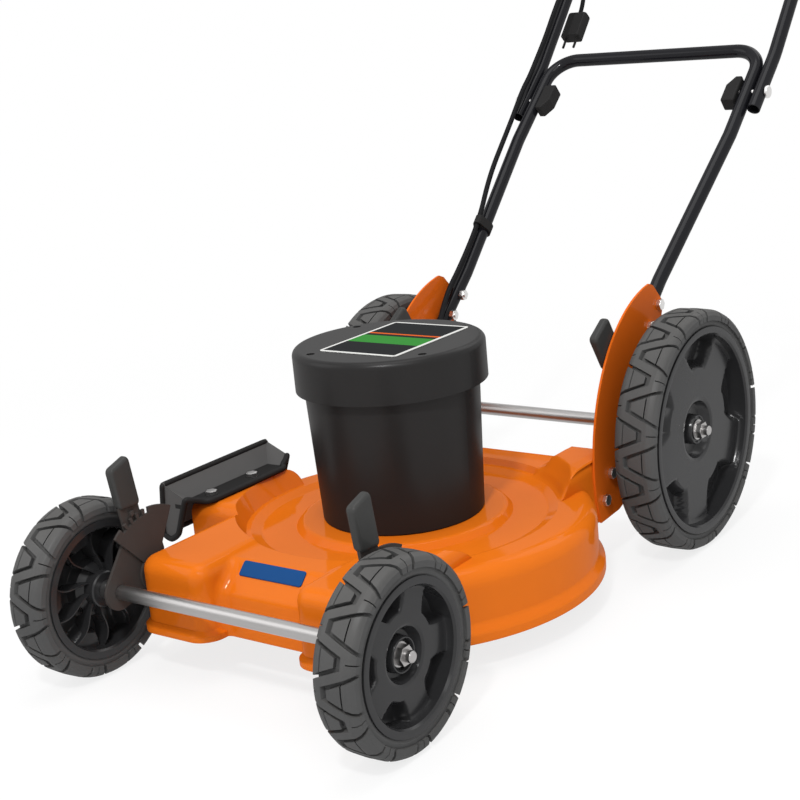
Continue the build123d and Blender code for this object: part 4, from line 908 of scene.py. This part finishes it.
def beside(x, radius, steps):
    """Corners by their steps from one place of the section."""
    return [(x + along, radius + out) for along, out in steps]


def rim_section(lip, face, shape, rings):
    """Section of a rim, as places along the axle and radii: lip, dish, hub, bore, back and seat."""
    seat, barrel, hub = lip - RIM_SEAT_STEP, lip - RIM_SEAT_STEP - RIM_WALL, shape["hub"]
    dish, washer = face - shape["dish"], face - shape["seat"]
    back, floor = dish - DISH_THICK, dish - HUB_DEPTH
    collar = max(dish - COLLAR_DROP, washer + COLLAR_RISE)
    return [*beside(face, lip, LIP_EDGE), *beside(face, barrel, BARREL_EDGE),
            *beside(dish, barrel, DISH_EDGE), *((dish, radius) for radius in reversed(rings)),
            (dish - HUB_EASE, hub), *beside(floor, hub, HUB_FLOOR), (floor, HUB_TUBE),
            *beside(collar, 0.0, COLLAR), *beside(washer, 0.0, WASHER_SEAT), *beside(-face, 0.0, TUBE_END),
            *beside(floor, 0.0, TUBE_ROOT), *beside(floor, hub, HUB_BACK), *beside(back, hub, DISH_BACK),
            *((back, radius) for radius in rings),
            (back, barrel), *beside(-face, barrel, BACK_EDGE), (-face - LIP_EDGE[0][0], lip),
            (-face + RIM_LIP, lip), (-face + RIM_LIP, seat), (face - RIM_LIP, seat), (face - RIM_LIP, lip)]


def dished_rim(name, lip, width, shape, wheel):
    """Rim spun from its section, with pockets pressed into the dish and curved ribs behind it."""
    face, hub, barrel = width / 2, shape["hub"], lip - RIM_SEAT_STEP - RIM_WALL
    dish = face - shape["dish"]
    back, floor = dish - DISH_THICK, dish - HUB_DEPTH
    low, high = hub + PRESS_HUB, barrel - PRESS_BARREL
    rings = [low + (high - low) * step / (RIM_RINGS - 1) for step in range(RIM_RINGS)]
    section = rim_section(lip, face, shape, rings)
    piece = primitive(bpy.ops.mesh.primitive_circle_add, name, vertices=len(section), radius=1.0)
    for corner, (x, radius) in zip(piece.data.vertices, section):
        corner.co = (x, radius, 0.0)
    edit_all()
    bpy.ops.mesh.spin(steps=RIM_STEPS, angle=2 * pi, center=(0.0, 0.0, 0.0), axis=(1.0, 0.0, 0.0))
    bpy.ops.mesh.select_all(action="SELECT")
    bpy.ops.mesh.remove_doubles(threshold=MERGE)
    face_outwards()
    inner, outer = low + PRESS_EASE, barrel + PRESS_OVER
    press_pockets(piece, shape, barrel, wheel.pocket, lambda x, radius: (
        inner <= radius <= outer and back - PRESS_BACK < x < dish + PRESS_FRONT))
    ribs = curved_ribs(name + "_ribs", barrel + RIB_BURY, RIB_SETBACK - face, back - RIB_CLEAR,
                       floor - RIB_HUB_CLEAR, hub, wheel.rib)
    press_pockets(ribs, shape, barrel, wheel.pocket, lambda x, radius: x > back - RIB_TOP and radius > hub)
    choose(piece, ribs)
    bpy.ops.object.join()
    smooth_edges(38.0)
    return piece


def press_pockets(piece, shape, barrel, depth, wanted):
    """Presses petal-shaped pockets into the corners that pass a test of place along the axle and radius."""
    step, low = 2 * pi / POCKETS, shape["petal"]
    for corner in piece.data.vertices:
        radius = hypot(corner.co.y, corner.co.z)
        share = (radius - low) / (barrel - low)
        if share <= 0 or not wanted(corner.co.x, radius):
            continue
        turn = atan2(corner.co.z, corner.co.y)
        off = abs((turn - radians(shape["first"]) + step / 2) % step - step / 2) * radius
        petal = barrel * (PETAL_BASE + PETAL_GROWTH * share ** PETAL_POWER)
        corner.co.x -= smooth_step(min(petal - off, radius - low) / POCKET_WALL) * depth


def curved_ribs(name, high, near, far, hub_far, hub, thick):
    """Thin ribs behind the dish that sweep from the hub to the barrel."""
    rib = unit_grid(name, RIB_CELLS, 1)
    for corner in rib.data.vertices:
        share = corner.co.x + 0.5
        radius = HUB_BOSS + (high - HUB_BOSS) * share
        turn = RIB_BOW * sin(pi * share) + RIB_LEAN * share
        deep = hub_far if radius < hub + RIB_HUB_REACH else far
        x = near + RIB_SLOPE * share if corner.co.y < 0 else deep
        corner.co = (x, radius * cos(turn), radius * sin(turn))
    apply_modifier(rib, "SOLIDIFY", thickness=thick, offset=0.0)
    copies = [rib]
    for number in range(1, RIBS):
        copies.append(new_object(name, rib.data.copy()))
        copies[-1].data.transform(Matrix.Rotation(2 * pi * number / RIBS, 4, "X"))
    choose(*copies)
    bpy.ops.object.join()
    face_outwards()
    return rib


class MOWER_OT_wheels(bpy.types.Operator):
    """Tyres with raised tread, rims with pockets and ribs, and bushes"""
    bl_idname = "mower.wheels"
    bl_label = "Wheels"

    def execute(self, context):
        look, wheel = finishes(), context.scene.mower_wheels
        rubber = finish_material(
            "tyre_rubber", look.tyre, spread=0.2, rough=(0.6, 0.75), grain_scale=700.0, depth=0.0002,
            coat=0.22, coat_rough=0.38, dust=0.2)
        plastic = finish_material("rim_plastic", look.rim, rough=(0.32, 0.42), coat=0.55, coat_rough=0.2)
        bush = finish_material("bush_plastic", BUSH)
        for end, pitches in (("front", wheel.front_pitches), ("rear", wheel.rear_pitches)):
            low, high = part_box(end + "_right_tyre")
            radius, width = (high.z - low.z) / 2, high.x - low.x
            tyre = tread_tyre(end + "_tread", Tread(radius, width, LIPS[end], pitches, wheel), pitches)
            rim = dished_rim(end + "_dish", LIPS[end], width, RIM_SHAPES[end], wheel)
            for side, way in (("right", 1.0), ("left", -1.0)):
                name = end + "_" + side
                self.fit(tyre, name, "tyre", way, rubber, "tyre")
                self.fit(rim, name, "rim", way, plastic, "rim_plastic")
                dress(bush, name + "_bush")
            bpy.data.objects.remove(tyre)
            bpy.data.objects.remove(rim)
        return {"FINISHED"}

    def fit(self, master, wheel, kind, way, material, slot):
        """Copies a piece to a wheel, mirrored on the left side, in the place of the CAD piece."""
        low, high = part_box(wheel + "_tyre")
        copy = new_object(f"{wheel}_moulded_{kind}", master.data.copy())
        copy.data.name = copy.name
        copy.data.transform(Matrix.Translation((low + high) / 2) @ Matrix.Scale(way, 4, (1.0, 0.0, 0.0)))
        if way < 0:
            copy.data.flip_normals()
        settle(copy, material, wheel + "_wheel")
        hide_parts(f"{wheel}_{kind}")


# Height adjusters
GRIP_MIDDLE, GRIP_LEAN = Vector((0.0, -0.289, 0.222)), radians(8.0)
GRIP_SHARE, GRIP_SKEW, GRIP_HALF, GRIP_RISE, GRIP_MERGE = 0.74, 0.003, 0.021, 0.028, 0.00001
SLEEVE_RADIUS, SLEEVE_SIDES, SLEEVE_EDGE, SLEEVE_CROWN = 0.0085, 40, 0.0012, 0.0006
SLEEVE_GAP = {"front": 0.0050, "rear": 0.0085}


class MOWER_OT_adjusters(bpy.types.Operator):
    """Height levers, quadrants, grips, axles and bolts"""
    bl_idname = "mower.adjusters"
    bl_label = "Height adjusters"

    def execute(self, context):
        look = finishes()
        plate = finish_material("plate_paint", look.plate, rough=(0.35, 0.45), grain_scale=500.0)
        dress(plate, "front_levers", "rear_levers", "front_quadrants", "rear_quadrants")
        grip = finish_material(
            "grip_plastic", look.grip, rough=(0.42, 0.52), grain_scale=800.0, coat=0.2, coat_rough=0.22)
        self.slim_grips(grip)
        dress(grip, "rear_grips")
        zinc = finish_material(
            "zinc_plate", look.zinc, rough=(0.28, 0.4), grain="drawn_lines", depth=0.00004, **METAL)
        dress(zinc, "front_axle", "rear_axle", "front_axle_fittings", "rear_axle_fittings", "motor_screws",
              "blade_bolt")
        for end in SLEEVE_GAP:
            self.sleeve(end, zinc)
        # The bolts get a lighter copy of the zinc plating: plated metal with a painted highlight
        bolt_highlit = finish_material("bolt_plate", look.bolt_highlit, rough=(0.25, 0.35), depth=0.00003, **METAL)
        dress(bolt_highlit, "frame_bolts", "fold_bolts")
        return {"FINISHED"}

    def slim_grips(self, material):
        """Front grips that are narrower than their solids, about the line of the lever."""
        piece = new_object("front_slim_grips", frame["nodes"]["front_grips"].data.copy())
        across, along = slope_ways(GRIP_LEAN)
        for corner in piece.data.vertices:
            off = (corner.co - GRIP_MIDDLE).dot(across)
            rise = (corner.co - GRIP_MIDDLE).dot(along) / GRIP_RISE
            corner.co += across * off * (GRIP_SHARE - 1.0) + along * GRIP_SKEW * rise * off / GRIP_HALF
        choose(piece)
        edit_all()
        bpy.ops.mesh.remove_doubles(threshold=GRIP_MERGE)
        leave_edit()
        smooth_edges(35.0)
        settle(piece, material, "front_carrier")
        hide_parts("front_grips")

    def sleeve(self, end, material):
        """Bright tube over the axle between the lever plates, with rounded ends."""
        low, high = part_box(end + "_axle")
        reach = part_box(end + "_levers")[1].x - SLEEVE_GAP[end]
        piece = primitive(bpy.ops.mesh.primitive_cylinder_add, end + "_axle_sleeve", vertices=SLEEVE_SIDES,
                          radius=SLEEVE_RADIUS, depth=2 * reach, location=(low + high) / 2,
                          rotation=(0.0, pi / 2, 0.0))
        pick_faces(piece, lambda face: len(face.vertices) > 4)
        bpy.ops.mesh.inset(thickness=SLEEVE_EDGE)
        bpy.ops.mesh.extrude_region_shrink_fatten(TRANSFORM_OT_shrink_fatten={"value": SLEEVE_CROWN})
        leave_edit()
        smooth_edges(40.0)
        settle(piece, material, end + "_carrier")


# Handle
GRIP_FOAM = (0.018, 0.018, 0.019)


class MOWER_OT_handle(bpy.types.Operator):
    """Handle tubes, knobs, grip, switch box and plug"""
    bl_idname = "mower.handle"
    bl_label = "Handle"

    def execute(self, context):
        look = finishes()
        tube = finish_material(
            "tube_paint", look.tube, rough=(0.16, 0.24), grain_scale=300.0, depth=0.00003, coat=0.34,
            coat_rough=0.12)
        dress(tube, "lower_handle", "upper_handle")
        black = finish_material("switch_plastic", look.small, rough=(0.42, 0.52), grain_scale=1000.0)
        dress(black, "fold_knob_left", "fold_knob_right", "switch_base", "switch_cover", "plug",
              "cable_clip")
        foam = finish_material("grip_rubber", GRIP_FOAM, rough=(0.7, 0.8), grain_scale=1500.0, depth=0.0003)
        dress(foam, "handle_grip")
        red = finish_material("switch_accent", look.accent, rough=(0.3, 0.36))
        dress(red, "switch_lever", "lock_button")
        return {"FINISHED"}


# Stage
FLOOR_SIZE, FLOOR_GREY, FLOOR_ROUGH = 60.0, (0.86, 0.86, 0.86, 1.0), 0.9
# The floor turns from a shadowed grey to white between these distances from the middle
FLOOR_NEAR, FLOOR_FAR, FLOOR_SHARE = 0.5, 1.9, 0.8
WHITE, WORLD_LIGHT = (1.0, 1.0, 1.0, 1.0), 0.55
LAMPS = (("key", "key", (2.2, -2.0, 3.0), 2.2), ("fill", "fill", (-2.6, -1.8, 2.2), 2.6),
         ("back", "fill", (0.4, 3.0, 2.8), 2.4), ("top", "top", (0.1, 0.0, 3.6), 2.4),
         ("glint", "glint", (0.9, -1.9, 2.6), 0.3))
LAMP_AIM = Vector((0.0, 0.1, 0.3))
EYE_PLACE, EYE_SENSOR, EYE_REACH = (1.0844, -1.3921, 0.7229), 36.0, 100.0
EYE_AZIMUTH, EYE_DROP, EYE_ROLL = radians(37.68), radians(14.81), radians(-5.46)


class MOWER_OT_stage(bpy.types.Operator):
    """Pale floor, soft lamps and the camera"""
    bl_idname = "mower.stage"
    bl_label = "Stage"

    def execute(self, context):
        stage = context.scene.mower_stage
        floor = primitive(bpy.ops.mesh.primitive_plane_add, "floor", size=FLOOR_SIZE)
        floor.data.materials.append(self.paper("floor_paper"))
        self.world(context.scene)
        for name, setting, place, size in LAMPS:
            self.lamp(name + "_lamp", place, size, getattr(stage, setting))
        eye = bpy.data.cameras.new("photo_camera")
        eye.lens = stage.lens
        eye.sensor_width = EYE_SENSOR
        eye.clip_end = EYE_REACH
        camera = new_object("photo_camera", eye)
        camera.matrix_world = self.photo_view()
        context.scene.camera = camera
        context.scene.view_settings.view_transform = "Standard"
        return {"FINISHED"}

    def photo_view(self):
        """Place and turn of the camera, with its small roll."""
        level = cos(EYE_DROP)
        ahead = Vector((-sin(EYE_AZIMUTH) * level, cos(EYE_AZIMUTH) * level, -sin(EYE_DROP)))
        right = Vector((cos(EYE_AZIMUTH), sin(EYE_AZIMUTH), 0.0))
        up = right.cross(ahead)
        across = right * cos(EYE_ROLL) + up * sin(EYE_ROLL)
        above = up * cos(EYE_ROLL) - right * sin(EYE_ROLL)
        turn = Matrix((across, above, -ahead)).transposed().to_4x4()
        return Matrix.Translation(EYE_PLACE) @ turn

    def lamp(self, name, place, size, watts):
        light = bpy.data.lights.new(name, "AREA")
        light.shape = "DISK"
        light.size = size
        light.energy = watts
        lamp = new_object(name, light)
        lamp.location = place
        lamp.rotation_euler = (LAMP_AIM - Vector(place)).to_track_quat("-Z", "Y").to_euler()

    def paper(self, name):
        """Floor that is white to the camera away from the shadow."""
        made = bpy.data.materials.new(name)
        made.use_nodes = True
        tree = made.node_tree
        shader = tree.nodes["Principled BSDF"]
        fill(tree, shader, {"Base Color": FLOOR_GREY, "Roughness": FLOOR_ROUGH, "Specular IOR Level": 0.0})
        white = node(tree, "ShaderNodeEmission", Color=WHITE, Strength=1.0).outputs["Emission"]
        far = node(tree, "ShaderNodeVectorMath", object_place(tree))
        far.operation = "LENGTH"
        share = node(tree, "ShaderNodeMapRange", Value=far.outputs["Value"], From_Min=FLOOR_NEAR,
                     From_Max=FLOOR_FAR, To_Min=FLOOR_SHARE, To_Max=1.0)
        share.interpolation_type = "SMOOTHSTEP"
        factor = maths(tree, "MULTIPLY", share.outputs["Result"], self.seen_rays(tree))
        mix = node(tree, "ShaderNodeMixShader", factor, shader.outputs["BSDF"], white)
        fill(tree, tree.nodes["Material Output"], {"Surface": mix.outputs["Shader"]})
        arrange(tree)
        return made

    def seen_rays(self, tree):
        """1 for rays from the camera and for what gloss and glass show."""
        path = node(tree, "ShaderNodeLightPath").outputs
        gloss = maths(tree, "MAXIMUM", path["Is Camera Ray"], path["Is Glossy Ray"])
        return maths(tree, "MAXIMUM", gloss, path["Is Transmission Ray"])

    def world(self, scene):
        """Soft grey light all round, white where it is seen."""
        scene.world = bpy.data.worlds.new("studio")
        scene.world.use_nodes = True
        tree = scene.world.node_tree
        back = tree.nodes["Background"]
        fill(tree, back, {"Color": WHITE, "Strength": WORLD_LIGHT})
        seen = node(tree, "ShaderNodeBackground", Color=WHITE, Strength=1.0)
        mix = node(tree, "ShaderNodeMixShader", self.seen_rays(tree), back.outputs["Background"],
                   seen.outputs["Background"])
        fill(tree, tree.nodes["World Output"], {"Surface": mix.outputs["Shader"]})
        arrange(tree)


# Panel and registration
class MOWER_PT_panel(bpy.types.Panel):
    """Lists the finishes and the pieces of the mower"""
    bl_idname = "MOWER_PT_panel"
    bl_label = "Lawn mower"
    bl_space_type = "VIEW_3D"
    bl_region_type = "UI"
    bl_category = "Mower"

    def draw(self, context):
        for name in SETTINGS:
            holder = getattr(context.scene, name)
            for label in holder.bl_rna.properties.keys():
                if label not in ("rna_type", "name"):
                    self.layout.prop(holder, label)
        for step in STEPS:
            self.layout.operator(step.bl_idname)


SETTINGS = {"mower_finishes": MowerFinishes, "mower_trim": MowerTrim, "mower_wheels": MowerWheels,
            "mower_stage": MowerStage}
STEPS = (MOWER_OT_stage, MOWER_OT_bodywork, MOWER_OT_ear_fairings, MOWER_OT_hood_trim, MOWER_OT_motor,
         MOWER_OT_labels, MOWER_OT_wheels, MOWER_OT_adjusters, MOWER_OT_handle, MOWER_OT_cords)
CLASSES = (*SETTINGS.values(), *STEPS, MOWER_PT_panel)


def register():
    for made in CLASSES:
        bpy.utils.register_class(made)
    for name, made in SETTINGS.items():
        setattr(bpy.types.Scene, name, PointerProperty(type=made))


def unregister():
    for name in SETTINGS:
        delattr(bpy.types.Scene, name)
    for made in reversed(CLASSES):
        bpy.utils.unregister_class(made)


def main():
    register()
    bpy.ops.mower.stage()
    bpy.ops.mower.bodywork()
    bpy.ops.mower.ear_fairings()
    bpy.ops.mower.hood_trim()
    bpy.ops.mower.motor()
    bpy.ops.mower.labels()
    bpy.ops.mower.wheels()
    bpy.ops.mower.adjusters()
    bpy.ops.mower.handle()
    bpy.ops.mower.cords()


if __name__ == "__main__":
    main()
